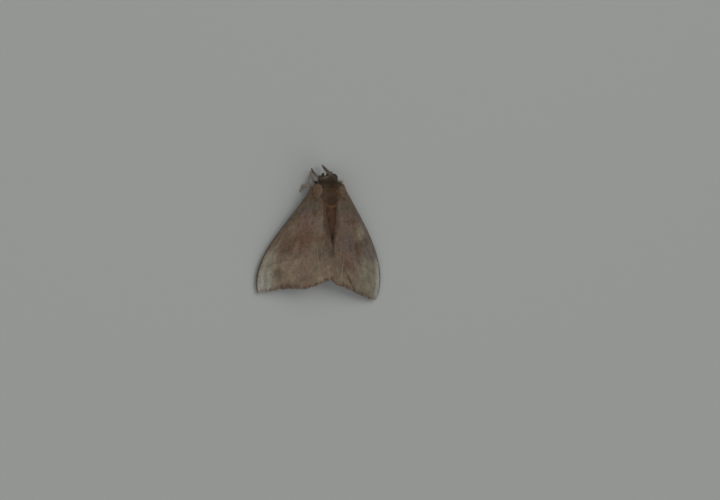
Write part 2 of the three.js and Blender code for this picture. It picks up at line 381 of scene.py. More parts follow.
def make_lock(sides, cuts):
    """A spike one unit wide and long, with its root at the origin and its tip at y = 1."""
    bm = unit_cone(sides)
    cut_across(bm, cuts)

    def shape(cone):
        along = cone[:, 2] + 0.5
        round_part = np.hypot(cone[:, 0], cone[:, 1])
        fuller = (LOCK_ROOT + LOCK_SWELL * along) / np.maximum(1 - along, 1e-6) ** LOCK_POINT
        belly = np.where(round_part > 1e-6, fuller, 0)
        return np.stack([cone[:, 0] * belly, along, cone[:, 1] * belly], axis=1)

    return as_tuft(reshape(bm, shape), True)


SCALE = make_scale(sides=7, stalk=0.35)
HAIR_SCALE = make_scale(sides=5, stalk=0.5)
LOCK = make_lock(sides=3, cuts=3)
SHORT_LOCK = make_lock(sides=3, cuts=2)
print("triangles: scale", len(SCALE.triangles), "lock", len(LOCK.triangles))


# %% Planting
def plant(tuft, roots, size, lift, droop, rng, bend=0.0, lowest=None):
    """Copies of a tuft at every root. size is width, length and thickness in mm.

    A copy rises from its root by lift, droop brings its tip down again, and bend is how far tips
    stray sideways. All three are shares of its length. No point comes below lowest."""
    count, corners = len(roots.place), len(tuft.places)
    x, y, z = tuft.places.T
    width, length, thick = (size[:, k : k + 1] for k in range(3))
    across = np.cross(roots.lie, roots.up)
    aside = x * width + rng.normal(0, bend, (count, 1)) * y**2 * length
    lift, droop = (np.broadcast_to(share, count)[:, None] for share in (lift, droop))
    rise = (lift * y - droop * y**2) * length + z * thick
    places = roots.place[:, None] + across[:, None] * aside[..., None]
    places += roots.lie[:, None] * (y * length)[..., None] + roots.up[:, None] * rise[..., None]
    places = places.reshape(-1, 3)
    if lowest is not None:
        places[:, 2] = np.maximum(places[:, 2], lowest)
    shift = np.arange(count)[:, None, None] * corners
    triangles = (tuft.triangles[None] + shift).reshape(-1, 3)
    corner_of_loop = tuft.triangles.ravel()
    patch = np.stack([x, y - 0.5], axis=1)[corner_of_loop] * BAKE_PATCH
    bake = (roots.bake[:, None] + patch[None]).reshape(-1, 2)
    plan = np.repeat(roots.plan, len(corner_of_loop), axis=0)
    tone = np.repeat(rng.uniform(-1, 1, count), corners)
    smooth_faces = np.full(len(triangles), tuft.smooth)
    return Coat(places, triangles, smooth_faces, bake, plan, tone, np.tile(y, count))


def coat_mesh(name, coats, material):
    """Several planted coats as one mesh in metres."""
    firsts = np.cumsum([0] + [len(coat.places) for coat in coats])
    triangles = np.concatenate([coat.triangles + first for coat, first in zip(coats, firsts)])
    places, smooth_faces, bake, plan, tone, reach = (
        np.concatenate([getattr(coat, field) for coat in coats])
        for field in ("places", "smooth", "bake", "plan", "tone", "reach")
    )
    mesh = bpy.data.meshes.new(name)
    mesh.from_pydata(places * MM, [], triangles)
    mesh.polygons.foreach_set("use_smooth", smooth_faces)
    for uv_name, spots in (("OFBake", bake), ("plan", plan)):
        mesh.uv_layers.new(name=uv_name).data.foreach_set("uv", spots.ravel())
    for attribute_name, values in (("tone", tone), ("reach", reach)):
        mesh.attributes.new(attribute_name, "FLOAT", "POINT").data.foreach_set("value", values)
    mesh.materials.append(material)
    return mesh


def put_coat(name, coats, material, slot):
    put_in_scene(coat_mesh(name, coats, material), slot)


def sizes_of(width, lengths, thick):
    """Width, length and thickness of tufts that differ only in length."""
    return np.stack(np.broadcast_arrays(width, lengths, thick), axis=1)


def varied_sizes(size, count, low, high, rng):
    """Sizes of tufts that each stray from a given width, length and thickness."""
    return np.array(size) * rng.uniform(low, high, (count, 3))


def tilted(vectors, about, degrees):
    """Each unit vector turned about its own axis, by one angle or by its own."""
    angle = np.radians(np.broadcast_to(degrees, len(vectors)))[:, None]
    return unit(vectors * np.cos(angle) + np.cross(about, vectors) * np.sin(angle))


# %% [markdown]
# ## Materials
#
# A pattern on scales is painted the way a sign painter works: a ground colour first, and then one
# soft-edged mark after another. Each mark is an ellipse on the plan of the wing. A Mapping node of
# the Texture kind puts the ellipse at the origin as a unit circle, so its mask is only a length and
# a smooth step. Noise bends the plan a little first, so that no mark has a drawn edge.


# %% Small helpers for shader nodes
def node(tree, kind, inputs, **settings):
    """Adds a shader node. inputs gives each socket a value, or another node's output."""
    made = tree.nodes.new("ShaderNode" + kind)
    for key, value in settings.items():
        setattr(made, key, value)
    for key, value in inputs.items():
        if isinstance(value, bpy.types.NodeSocket):
            tree.links.new(value, made.inputs[key])
        else:
            made.inputs[key].default_value = value
    return made


def painted_over(tree, ground, colour, mask):
    """The ground with a colour laid over it where the mask is 1."""
    layer = tree.nodes.new("ShaderNodeMix")
    layer.data_type = "RGBA"
    factor, below, above = layer.inputs[0], layer.inputs[6], layer.inputs[7]
    for value, socket in ((mask, factor), (ground, below), (colour, above)):
        if isinstance(value, bpy.types.NodeSocket):
            tree.links.new(value, socket)
        else:
            socket.default_value = value if socket is factor else (*value, 1)
    return layer.outputs[2]


def stepped(tree, value, low, high, top=1.0):
    """A smooth mask that rises from 0 at low to top at high."""
    step = {"Value": value, "From Min": low, "From Max": high, "To Max": top}
    return node(tree, "MapRange", step, interpolation_type="SMOOTHSTEP").outputs["Result"]


def noise(tree, place, scale, stretch=(1, 1, 1), detail=3, output=0):
    """Soft spots, scale of them to each unit of the place. stretch squeezes them along each axis."""
    spread = node(tree, "Mapping", {"Vector": place, "Scale": stretch}).outputs[0]
    return node(tree, "TexNoise", {"Vector": spread, "Scale": scale, "Detail": detail}).outputs[output]


def worked_out(tree, operation, *values):
    """The result of a Math node."""
    return node(tree, "Math", dict(enumerate(values)), operation=operation).outputs[0]


def attribute(tree, name):
    return node(tree, "Attribute", {}, attribute_name=name).outputs["Fac"]


def clouded(tree, colour, place, scale, detail, depth, variety):
    """Brightens and darkens a colour, in soft clouds and from one scale or lock to the next."""
    cloud = worked_out(tree, "MULTIPLY_ADD", noise(tree, place, scale, detail=detail), 2.0, -1.0)
    value = worked_out(tree, "MULTIPLY_ADD", cloud, depth, 1.0)
    value = worked_out(tree, "MULTIPLY_ADD", attribute(tree, "tone"), variety, value)
    return node(tree, "HueSaturation", {"Color": colour, "Value": value}).outputs[0]


def mottled(tree, dark, pale, scale, limits, detail=3):
    """Two tones that mingle in spots. scale is about how many spots there are in a metre."""
    spots = noise(tree, node(tree, "TexCoord", {}).outputs["Object"], scale, detail=detail)
    return painted_over(tree, dark, pale, stepped(tree, spots, *limits))


def new_material(name, paint, *details, roughness=0.62, sheen=0.15, gloss=0.3):
    """A material whose colour is what paint(tree, *details) makes."""
    material = bpy.data.materials.new(name)
    material.use_nodes = True
    tree = material.node_tree
    look = tree.nodes["Principled BSDF"].inputs
    look["Roughness"].default_value = roughness
    look["Sheen Weight"].default_value = sheen
    look["Specular IOR Level"].default_value = gloss
    tree.links.new(paint(tree, *details), look["Base Color"])
    return material


# %% [markdown]
# ## The markings of the forewing
#
# u runs along the wing, from 0 at the body to 1 at the outer margin. v runs across it, from 0 at
# the front edge to 1 at the inner margin, where the two wings meet. The two wings of one moth are
# never quite alike, so a few marks are moved on the right one.

# %% Colours and marks
GROUND = (0.265, 0.182, 0.122)
OLIVE = (0.17, 0.135, 0.088)
RUST = (0.225, 0.115, 0.07)
UMBER_AND_SHADE = (0.12, 0.068, 0.042)
# the next colour darkens the inner margin: partly the wing's own colour, partly painted shade where the
# two wings meet
MAROON = (0.16, 0.077, 0.044)
DARK = (0.09, 0.06, 0.04)
TAN = (0.4, 0.31, 0.215)
CREAM = (0.52, 0.46, 0.34)
STRAW = (0.42, 0.36, 0.245)
SAGE = (0.35, 0.335, 0.235)
ROSE = (0.29, 0.17, 0.135)
MAUVE = (0.2, 0.15, 0.135)
SLATE = (0.27, 0.245, 0.2)
ASH = (0.62, 0.62, 0.54)
Mark = namedtuple("Mark", "u v half_u half_v paint strength soft slant", defaults=(0.6, 0))
MARKS = {
    LEFT: (
        Mark(0.95, 0.35, 0.36, 0.8, TAN, 0.65, 0.5),
        Mark(0.0, 0.45, 0.09, 0.9, RUST, 0.6),
        Mark(0.13, 0.42, 0.08, 0.45, OLIVE, 0.7, 0.5),
        Mark(0.2, 0.63, 0.04, 0.06, DARK, 0.5),
        Mark(0.2, 0.3, 0.04, 0.24, MAUVE, 0.8, 0.6, 4),
        Mark(0.26, 0.17, 0.05, 0.1, OLIVE, 0.6),
        Mark(0.32, 0.52, 0.09, 0.16, ROSE, 0.6, 0.7, -20),
        Mark(0.35, 0.82, 0.12, 0.14, TAN, 0.25),
        Mark(0.39, 0.3, 0.05, 0.1, TAN, 0.5, 0.6, -25),
        Mark(0.54, 0.38, 0.11, 0.13, RUST, 0.62, 0.7, -20),
        Mark(0.55, 0.38, 0.05, 0.07, OLIVE, 0.55, 0.8, -20),
        Mark(0.6, 0.4, 0.03, 0.05, DARK, 0.3, 0.8, -20),
        Mark(0.51, 0.56, 0.14, 0.11, RUST, 0.7, 0.7, -8),
        Mark(0.5, 0.8, 0.03, 0.18, RUST, 0.6),
        Mark(0.67, 0.9, 0.1, 0.14, OLIVE, 0.6),
        Mark(0.76, 0.5, 0.18, 0.05, TAN, 0.6, 0.7, 6),
        Mark(0.84, 0.62, 0.12, 0.08, ROSE, 0.4, 0.7, 6),
        Mark(0.73, 0.17, 0.15, 0.07, STRAW, 0.9, 0.6, 26),
        Mark(0.84, 0.36, 0.06, 0.04, DARK, 0.45, 0.6, 18),
        Mark(0.95, 0.47, 0.04, 0.06, DARK, 0.6),
        Mark(0.93, 0.78, 0.03, 0.035, CREAM, 0.5, 0.5),
        Mark(0.955, 0.84, 0.02, 0.03, DARK, 0.6, 0.5),
        Mark(0.72, 0.14, 0.14, 0.14, ASH, 0.3, 0.7, 10),
        Mark(0.94, 0.13, 0.12, 0.15, ASH, 0.95, 0.8, 8),
        # The inner margin and its base: partly the wing's own dark edge, partly painted shade of the
        # gap where the two wings meet.
        Mark(0.3, 1.0, 0.42, 0.1, UMBER_AND_SHADE, 0.95),
        Mark(0.04, 1.0, 0.14, 0.2, MAROON, 0.85),
    ),
    RIGHT: (
        Mark(0.7, 0.15, 0.5, 0.3, SLATE, 0.6),
        Mark(0.95, 0.3, 0.3, 0.5, TAN, 0.4, 0.5),
        Mark(0.0, 0.5, 0.06, 0.9, RUST, 0.6),
        Mark(0.13, 0.45, 0.08, 0.65, OLIVE, 0.75, 0.5),
        Mark(0.22, 0.3, 0.04, 0.35, MAUVE, 0.6, 0.6, 4),
        Mark(0.28, 0.58, 0.018, 0.24, MAROON, 0.65, 0.7, -4),
        Mark(0.37, 0.35, 0.05, 0.14, STRAW, 0.85, 0.5, -16),
        Mark(0.46, 0.3, 0.03, 0.22, OLIVE, 0.8, 0.6, -12),
        Mark(0.55, 0.52, 0.06, 0.06, MAROON, 0.8),
        Mark(0.52, 0.72, 0.11, 0.14, MAUVE, 0.75, 0.7),
        Mark(0.65, 0.68, 0.06, 0.1, ROSE, 0.75, 0.7),
        Mark(0.74, 0.68, 0.05, 0.14, RUST, 0.7, 0.7),
        Mark(0.56, 0.25, 0.08, 0.16, MAUVE, 0.5, 0.7),
        Mark(0.55, 0.06, 0.04, 0.08, DARK, 0.6),
        Mark(0.4, 0.85, 0.15, 0.1, ROSE, 0.25, 0.7),
        Mark(0.78, 0.36, 0.18, 0.15, SAGE, 0.75, 0.6, 20),
        Mark(0.88, 0.7, 0.06, 0.1, TAN, 0.7),
        Mark(0.92, 0.58, 0.018, 0.25, OLIVE, 0.9, 0.6, 30),
        Mark(0.9, 0.93, 0.12, 0.1, TAN, 0.6),
        Mark(0.85, 0.06, 0.25, 0.14, ASH, 0.85, 0.7, 2),
        # The inner margin: partly the wing's own dark edge, partly painted shade of the gap where the
        # two wings meet.
        Mark(0.3, 1.02, 0.42, 0.09, UMBER_AND_SHADE, 0.95),
    ),
}
LINES = (  # the fine cross lines of both wings
    Mark(0.25, 0.5, 0.007, 0.55, DARK, 0.32, 0.8, 5),
    Mark(0.42, 0.5, 0.006, 0.55, DARK, 0.24, 0.8, -6),
    Mark(0.68, 0.52, 0.008, 0.5, DARK, 0.22, 0.8, 8),
    Mark(0.7, 0.52, 0.006, 0.5, CREAM, 0.12, 0.8, 8),
    Mark(0.89, 0.55, 0.008, 0.42, DARK, 0.2, 0.8, 4),
)
COSTAL_EDGE = (0.0455, 0.014)  # where the dark front edge ends softly, as shares of the breadth
MARGIN_START, FRINGE_START = 0.93, 0.965  # outwards from here the wing turns rosy, then to fringe
WOBBLE = (0.085, 0.136, 0)  # how far noise moves the marks


def wing_plan(tree):
    """The pattern's place, and the same place shaken by noise."""
    plan = node(tree, "UVMap", {}, uv_map="plan").outputs[0]
    shake = noise(tree, plan, 7, detail=6, output="Color")
    offset = node(tree, "VectorMath", {0: shake, 1: (0.5, 0.5, 0)}, operation="SUBTRACT").outputs[0]
    moved = node(tree, "VectorMath", {0: offset, 1: WOBBLE, 2: plan}, operation="MULTIPLY_ADD")
    return plan, moved.outputs[0]


def marked(tree, colour, place, marks):
    """A colour with soft-edged ellipses painted over it, one after another."""
    for mark in marks:
        ellipse = {
            "Vector": place,
            "Location": (mark.u, mark.v, 0),
            "Rotation": (0, 0, math.radians(mark.slant)),
            "Scale": (mark.half_u, mark.half_v, 1),
        }
        spot = node(tree, "Mapping", ellipse, vector_type="TEXTURE").outputs[0]
        distance = node(tree, "VectorMath", {0: spot}, operation="LENGTH").outputs["Value"]
        mask = stepped(tree, distance, 1 + mark.soft, 1 - mark.soft, mark.strength)
        colour = painted_over(tree, colour, mark.paint, mask)
    return colour


def wing_colour(tree, side):
    """The upper side of a forewing: ground, marks, streaks, margins, and the grain of the scales."""
    plan, place = wing_plan(tree)
    clouds = noise(tree, plan, 3.2)
    colour = painted_over(tree, GROUND, OLIVE, stepped(tree, clouds, 0.45, 0.75, 0.35))
    colour = marked(tree, colour, place, MARKS[side] + LINES)
    outwards = node(tree, "SeparateXYZ", {0: place}).outputs["X"]
    streaks = stepped(tree, noise(tree, plan, 2.6, (1.1, 13, 1), 4), 0.5, 0.7, 0.6)
    outer_part = stepped(tree, outwards, 0.35, 0.75)
    colour = painted_over(tree, colour, TAN, worked_out(tree, "MULTIPLY", streaks, outer_part))
    backwards = node(tree, "SeparateXYZ", {0: plan}).outputs["Y"]
    colour = painted_over(tree, colour, DARK, stepped(tree, backwards, *COSTAL_EDGE, 0.9))
    margin = stepped(tree, outwards, MARGIN_START, FRINGE_START)
    colour = painted_over(tree, colour, ROSE, worked_out(tree, "MULTIPLY", margin, 0.4))
    teeth = stepped(tree, noise(tree, plan, 5, (0.2, 4.2, 1), 2), 0.45, 0.58, 0.55)
    colour = painted_over(tree, colour, DARK, worked_out(tree, "MULTIPLY", teeth, margin))
    tone = attribute(tree, "tone")
    colour = painted_over(tree, colour, DARK, stepped(tree, tone, -0.8, -0.9, 0.35))
    colour = painted_over(tree, colour, CREAM, stepped(tree, tone, 0.86, 0.94, 0.18))
    return clouded(tree, colour, plan, 13, 6, 0.6, 0.14)


def plain_colour(tree, ground, line, crossings):
    """A plainer wing surface, with faint darker lines across it."""
    plan, place = wing_plan(tree)
    colour = painted_over(tree, ground, TAN, stepped(tree, noise(tree, plan, 4), 0.4, 0.7, 0.6))
    colour = marked(tree, colour, place, [Mark(u, 0.5, 0.018, 1.2, line, 0.5) for u in crossings])
    return clouded(tree, colour, plan, 14, 4, 0.5, 0.2)


UNDER_BROWN, HIND_BROWN, FOLD_BROWN = (0.31, 0.205, 0.125), (0.36, 0.25, 0.155), (0.2, 0.12, 0.07)
WING_TOPS = {side: new_material(f"forewing_scales_{name}", wing_colour, side) for side, name in SIDES}
WING_UNDER = new_material("forewing_underside", plain_colour, UNDER_BROWN, DARK, (0.62, 0.93))
HIND_SCALES = new_material("hindwing_scales", plain_colour, HIND_BROWN, OLIVE, (0.5, 0.9))
FOLD_HAIR = new_material("fold_hair", plain_colour, FOLD_BROWN, DARK, ())
print("wing materials made")

# %% [markdown]
# ## The wings
#
# A wing's web is thinner than paper, stiffened by veins that stand a little proud. It is a smooth
# patch stretched between four curved edges, with a slight camber. A flat grid, mapped through the
# same formula, makes the web, and the formula also gives every scale its place and its tilt. The
# veins are part of the formula, so the scales ride over them and the light picks them out.

# %% The edges of a forewing
FOREWING = {
    "shoulder": (3.5, -10.6, 2.75),
    "costa_near": (7.45, -4.4, 1.25),
    "costa_far": (14.35, 2.4, 0.55),
    "apex": (11.65, 8.7, 0.8),
    "termen_near": (10.85, 9.05, 1),
    "termen_far": (2.55, 6.8, 3.6),
    "tornus": (0, 5.2, 4.55),
    "inner_far": (0.05, 0.6, 4.6),
    "inner_near": (1.05, -5.5, 4.2),
    "root": (1.2, -8.6, 3.95),
    "root_bow": (2.9, -9.4, 3.8),
}
SPREAD_DEG = 2.6
RIDGE_X, CORNERS_X, LAP, LAP_LIFT = 0.25, -0.33, 0.42, 0.38
CAMBER, HOOK_WEAR = 0.45, 0.5
NEAR_BOW, FAR_BOW = 1.15, 0.2  # the right costa bows out more than the left one
Lobe = namedtuple("Lobe", "at height half_width")  # a bulge of the outer margin
LOBES = {LEFT: Lobe(0.66, 0.85, 0.13), RIGHT: Lobe(0.86, 0.75, 0.12)}


def wing_edges(side):
    """Control points of the four edges, drawn as a left wing. The right one is mirrored later."""
    corner = {name: np.array(place, float) for name, place in FOREWING.items()}

    def swung(name):
        return turned(corner[name], -side * SPREAD_DEG, corner["shoulder"])

    def with_body(name):
        return turned(corner[name], side * BODY_TURN_DEG)

    shoulder, root, apex = with_body("shoulder"), with_body("root"), swung("apex")
    inner_far = corner["inner_far"] + (side * RIDGE_X, 0, side * LAP_LIFT)
    tornus = corner["tornus"] + (side * CORNERS_X - LAP, 0, side * LAP_LIFT)
    near = swung("costa_near") - (side * NEAR_BOW, 0, 0)
    far = swung("costa_far") - (side * FAR_BOW, 0, 0)
    hook = swung("termen_near") - (0, side * HOOK_WEAR, 0)
    slope = corner["termen_far"] + (0, 0, side * LAP_LIFT / 2)
    return {
        "costa": (shoulder, near, far, apex),
        "termen": (apex, hook, slope, tornus),
        "inner": (root, with_body("inner_near"), inner_far, tornus),
        "base": (shoulder, with_body("root_bow"), root),
    }


EDGES = {side: wing_edges(side) for side, _ in SIDES}


def bezier(points, t):
    """Places on a Bezier curve, by halving its control line again and again."""
    rungs = list(points)
    while len(rungs) > 1:
        rungs = [mix(a, b, t) for a, b in zip(rungs, rungs[1:])]
    return rungs[0]


# %% Veins
Vein = namedtuple("Vein", "stem margin fork")
VEINS = (  # places across the wing at the stem and at the margin, and along it at the fork
    Vein(0.16, 0.05, 0.36),
    Vein(0.16, 0.13, 0.52),
    Vein(0.16, 0.22, 0.58),
    Vein(0.2, 0.31, 0.58),
    Vein(0.28, 0.4, 0.58),
    Vein(0.38, 0.49, 0.58),
    Vein(0.46, 0.58, 0.58),
    Vein(0.46, 0.67, 0.54),
    Vein(0.46, 0.77, 0.4),
    Vein(0.8, 0.88, 0.1),
)
CELL_END = 0.58  # the middle veins start here, at the end of the long middle cell
VEIN_HEIGHT, VEIN_HALF_WIDTH = 0.05, 0.22
FORK_LENGTH, VEIN_START = 0.32, 0.05  # along the wing: a vein's swing, and its rise from nothing
CELL_VEINS = (0.2, 0.28, 0.38)  # stems of the three middle veins
ROOT_CHORD, MARGIN_CHORD = 3.4, 13.0  # breadth of the wing at its two ends
SLOPE_STEP = 0.003  # the wing's slope is measured over this share of it


def relief(u, v):
    """How far the veins stand above the web, in mm."""
    chord = mix(ROOT_CHORD, MARGIN_CHORD, u)
    height = np.zeros(np.broadcast(u, v).shape)
    for vein in VEINS:
        line = mix(vein.stem, vein.margin, smooth((u - vein.fork) / FORK_LENGTH))
        off = (v - line) * chord / VEIN_HALF_WIDTH
        starts = smooth((u - CELL_END) / VEIN_START) if vein.stem in CELL_VEINS else 1
        height = np.maximum(height, starts * np.exp(-off * off))
    return VEIN_HEIGHT * height


def wing_place(side, u, v):
    """Places on the upper face of a forewing. u and v are arrays."""
    u, v = np.broadcast_arrays(np.asarray(u, float), np.asarray(v, float))
    edges = EDGES[side]
    costa, inner, termen, base = edges["costa"], edges["inner"], edges["termen"], edges["base"]
    along, across = u[..., None], v[..., None]
    place = mix(bezier(costa, along), bezier(inner, along), across)
    place = place + mix(bezier(base, across), bezier(termen, across), along)
    place = place - mix(mix(costa[0], costa[-1], along), mix(inner[0], inner[-1], along), across)
    lobe = LOBES[side]
    place[..., 1] += lobe.height * u**6 * np.exp(-(((v - lobe.at) / lobe.half_width) ** 2))
    dome = 4 * u * (1 - u) * 4 * v * (1 - v)  # 1 at the middle of the wing and 0 at its edges
    place[..., 2] += CAMBER * dome + relief(u, v)
    place[..., 0] *= side
    return place - FOOTPRINT_MIDDLE


def wing_frame(side, u, v, depth):
    """Places a depth below the upper face, with the way to the margin and the upward normal."""
    outward = wing_place(side, u + SLOPE_STEP, v) - wing_place(side, u - SLOPE_STEP, v)
    rearward = wing_place(side, u, v + SLOPE_STEP) - wing_place(side, u, v - SLOPE_STEP)
    normal = unit(np.cross(outward, rearward)) * side
    return wing_place(side, u, v) - normal * depth, unit(outward), normal


span = np.linalg.norm(wing_place(LEFT, 0.0, 0.0) - wing_place(LEFT, 1.0, 0.0))
print("forewing, shoulder to tip:", round(float(span), 1), "mm")

# %% [markdown]
# ## Webs
#
# The web stops short of the outline by the length of the fringe. The hindwing is a smaller, rounder
# leaf that lies folded under the forewing, and only its rim and its lower side can be seen. Solidify
# gives both a thickness, and a second material for the lower side.

# %% Webs of the wings
WEB_FRONT, WEB_REAR = 0.003, 0.982
WEB_DEPTH, WEB_THICKNESS = 0.13, 0.06
HIND_DEPTH = 0.7
HIND_REACH, HIND_BREADTH, HIND_ROUNDING = (0.13, 0.9), (0.27, 0.83), 0.13
HIND_ROOT_FRONT = 0.59  # the front edge leaves the body here, as a share of the width
HIND_FLARE = 0.5  # and reaches its full width at this share of the length


def fore_web(a, b):
    """Wing coordinates of the shares a and b of the forewing's web."""
    return mix(0.0, FRINGE_START, a), mix(WEB_FRONT, WEB_REAR, b)


def hind_web(a, b):
    rounding = 1 - HIND_ROUNDING * a * (2 * b - 1) ** 2
    front = mix(HIND_ROOT_FRONT, HIND_BREADTH[0], smooth(a / HIND_FLARE))
    return mix(*HIND_REACH, a) * rounding, mix(front, HIND_BREADTH[1], b)


def on_wing(to_wing, shares):
    """The wing coordinates of some shares of a web, and their place on its pattern."""
    u, v = to_wing(*shares.T)
    return u, v, np.stack([u, v], axis=1) if to_wing is fore_web else shares


def web(name, side, to_wing, depth, steps, materials):
    bm = bmesh.new()
    bmesh.ops.create_grid(bm, x_segments=steps[0], y_segments=steps[1], size=0.5)
    shares = np.array([vert.co for vert in bm.verts])[:, :2] + 0.5
    u, v, plan = on_wing(to_wing, shares)
    layer = bm.loops.layers.uv.new("plan")
    bm.verts.index_update()
    for face in bm.faces:
        for loop in face.loops:
            loop[layer].uv = plan[loop.vert.index]
    places, _, normals = wing_frame(side, u, v, depth)
    reshape(bm, lambda _: places)
    bmesh.ops.recalc_face_normals(bm, faces=bm.faces)
    bm.faces.ensure_lookup_table()
    if bm.faces[0].normal.z < 0:
        bmesh.ops.reverse_faces(bm, faces=bm.faces)
    return finished(bm, name, materials)


FORE_STEPS, HIND_STEPS = (120, 84), (60, 44)
WEBS = (("forewing", fore_web, WEB_DEPTH, FORE_STEPS), ("hindwing", hind_web, HIND_DEPTH, HIND_STEPS))
for side, side_name in SIDES:
    faces = {"forewing": (WING_TOPS[side], WING_UNDER), "hindwing": (HIND_SCALES, HIND_SCALES)}
    for wing, to_wing, depth, steps in WEBS:
        mesh = web(f"{wing}_web_{side_name}", side, to_wing, depth, steps, faces[wing])
        piece = put_in_scene(mesh, f"{wing}_scales", f"{wing}_{side_name}")
        thick = piece.modifiers.new("thickness", "SOLIDIFY")
        thick.thickness = WEB_THICKNESS * MM
        thick.offset = -1
        thick.material_offset = 1

# %% [markdown]
# ## Scales on the wings
#
# Scales stand in rows across the wing, staggered like tiles, each row covering the stalks of the
# next one out. Rows are laid from the body to the margin, and the number in a row follows the
# breadth of the wing there. At the margins the scales grow long and narrow and make the fringe,
# which runs out past the web to the true outline.


# %% Rows of scales
SCALE_VARIETY, SCALE_LIFT = (0.82, 1.18), (0.1, 0.22)
ROW_JITTER = 0.3  # scales stray from their places by up to this share of the pitch
BAKE_MARGIN = 0.02  # the rim that the wings' patches leave free on their unwrap
ROOT_SINK = 0.005  # stalks start this far inside the web
SCALE_DEPTH = WEB_DEPTH - ROOT_SINK
UNDER_DEPTH = WEB_DEPTH + WEB_THICKNESS - ROOT_SINK
HIND_UNDER_DEPTH = HIND_DEPTH + WEB_THICKNESS - ROOT_SINK


def line_length(places):
    return float(np.linalg.norm(np.diff(places, axis=0), axis=1).sum())


def shingles(side, to_wing, row_pitch, pitch, rng):
    """Staggered places for scales, as shares a along and b across a web."""
    even = np.linspace(0, 1, 40)
    rows = int(line_length(wing_place(side, *to_wing(even, np.full(40, 0.5)))) / row_pitch)
    shares = []
    for row in range(rows):
        a = (row + 0.5) / rows
        count = int(line_length(wing_place(side, *to_wing(np.full(40, a), even))) / pitch)
        b = (np.arange(count) + 0.25 + 0.5 * (row % 2)) / count
        jitter = rng.uniform(-ROW_JITTER, ROW_JITTER, (count, 2)) / (rows, count)
        shares.append(np.stack([np.full(count, a), b], axis=1) + jitter)
    return np.clip(np.concatenate(shares), 0.001, 0.999)


def wing_roots(side, u, v, depth, rng, twist=9, below=False, plan=None):
    """Roots on a wing. Their lie strays by twist degrees, and below makes them hang from its lower
    side. plan is their place on the pattern, where that isn't u and v."""
    place, way, normal = wing_frame(side, u, v, depth)
    facing = -normal if below else normal
    way = tilted(way, facing, rng.normal(0, twist, len(u)))
    plan = np.stack([u, v], axis=1) if plan is None else plan
    return Roots(place, way, facing, plan, mix(BAKE_MARGIN, 1 - BAKE_MARGIN, plan))


def wing_scales(side, to_wing, depth, below, pitches, size, rng):
    u, v, plan = on_wing(to_wing, shingles(side, to_wing, *pitches, rng))
    roots = wing_roots(side, u, v, depth, rng, below=below, plan=plan)
    sizes = varied_sizes(size, len(u), *SCALE_VARIETY, rng)
    return plant(SCALE, roots, sizes, rng.uniform(*SCALE_LIFT, len(u)), 0, rng)


# %% Fringes
FRINGE_COUNT = 360
FRINGE_ROWS = (0.925, 0.94, 0.953)
FRINGE_LENGTH, FRINGE_VARIETY = 0.85, (0.9, 1.05)
FRINGE_TAPER = (1.15, 0.85)  # the first row is the longest
FRINGE_DEPTH = WEB_DEPTH + 0.02
FRINGE_PLAN_SHIFT = 0.03  # the fringe takes the pattern's colour from this far outwards
FRINGE_JITTER, FRINGE_LIFT, FRINGE_DROOP = 0.002, 0.04, 0.05
SHORT_WAVE, LONG_WAVE, LOW = 61, 23, -0.9  # nicks come where two waves along the margin are low
WORN_LENGTH = 0.6
REAR_FRINGE_ROWS = (0.945, 0.96, 0.975)
REAR_FRINGE_SPAN, REAR_FRINGE_JITTER = (0.06, 0.95), 0.003
REAR_FRINGE_LENGTH, REAR_FRINGE_VARIETY = 0.42, (0.8, 1.1)
CLOSING = (0.3, 0.5)  # the wings close between these places, and three values change there
REAR_FRINGE_GROWTH, REAR_FRINGE_SLANT_DEG = (1.0, 1.9), (32.0, 42.0)
# The upper wing's fringe bends down and the lower wing's rises to meet it.
REAR_FRINGE_DROOP = {LEFT: (0.3, 0.36), RIGHT: (0.06, -0.45)}
EDGE_COUNT, EDGE_LENGTH, EDGE_LIFT = 330, 0.34, 0.08
EDGE_SPAN, EDGE_JITTER = (0.01, 0.955), 0.001
EDGE_RADIUS = 0.05  # of the rolled front edge
HAIR_SCALE_WIDTH, HAIR_SCALE_THICKNESS = 0.1, 0.02


def hair_scales(roots, lengths, lift, droop, rng):
    sizes = sizes_of(HAIR_SCALE_WIDTH, lengths, HAIR_SCALE_THICKNESS)
    return plant(HAIR_SCALE, roots, sizes, lift, droop, rng)


def fringe(side, rng):
    """Long narrow scales past the outer margin, with a few nicks where they have worn away."""
    even = np.linspace(WEB_FRONT + 0.01, WEB_REAR, FRINGE_COUNT)
    u = np.repeat(FRINGE_ROWS, FRINGE_COUNT)
    v = np.tile(even, len(FRINGE_ROWS)) + rng.uniform(-FRINGE_JITTER, FRINGE_JITTER, len(u))
    worn = smooth(LOW - np.sin(v * SHORT_WAVE + side) - np.sin(v * LONG_WAVE + 2 * side))
    length = mix(1, WORN_LENGTH, worn) * FRINGE_LENGTH * rng.uniform(*FRINGE_VARIETY, len(u))
    length *= mix(*FRINGE_TAPER, (u - FRINGE_ROWS[0]) / (FRINGE_ROWS[-1] - FRINGE_ROWS[0]))
    margin_plan = np.stack([u + FRINGE_PLAN_SHIFT, v], axis=1)
    roots = wing_roots(side, u, v, FRINGE_DEPTH, rng, twist=5, plan=margin_plan)
    return hair_scales(roots, length, FRINGE_LIFT, FRINGE_DROOP, rng)


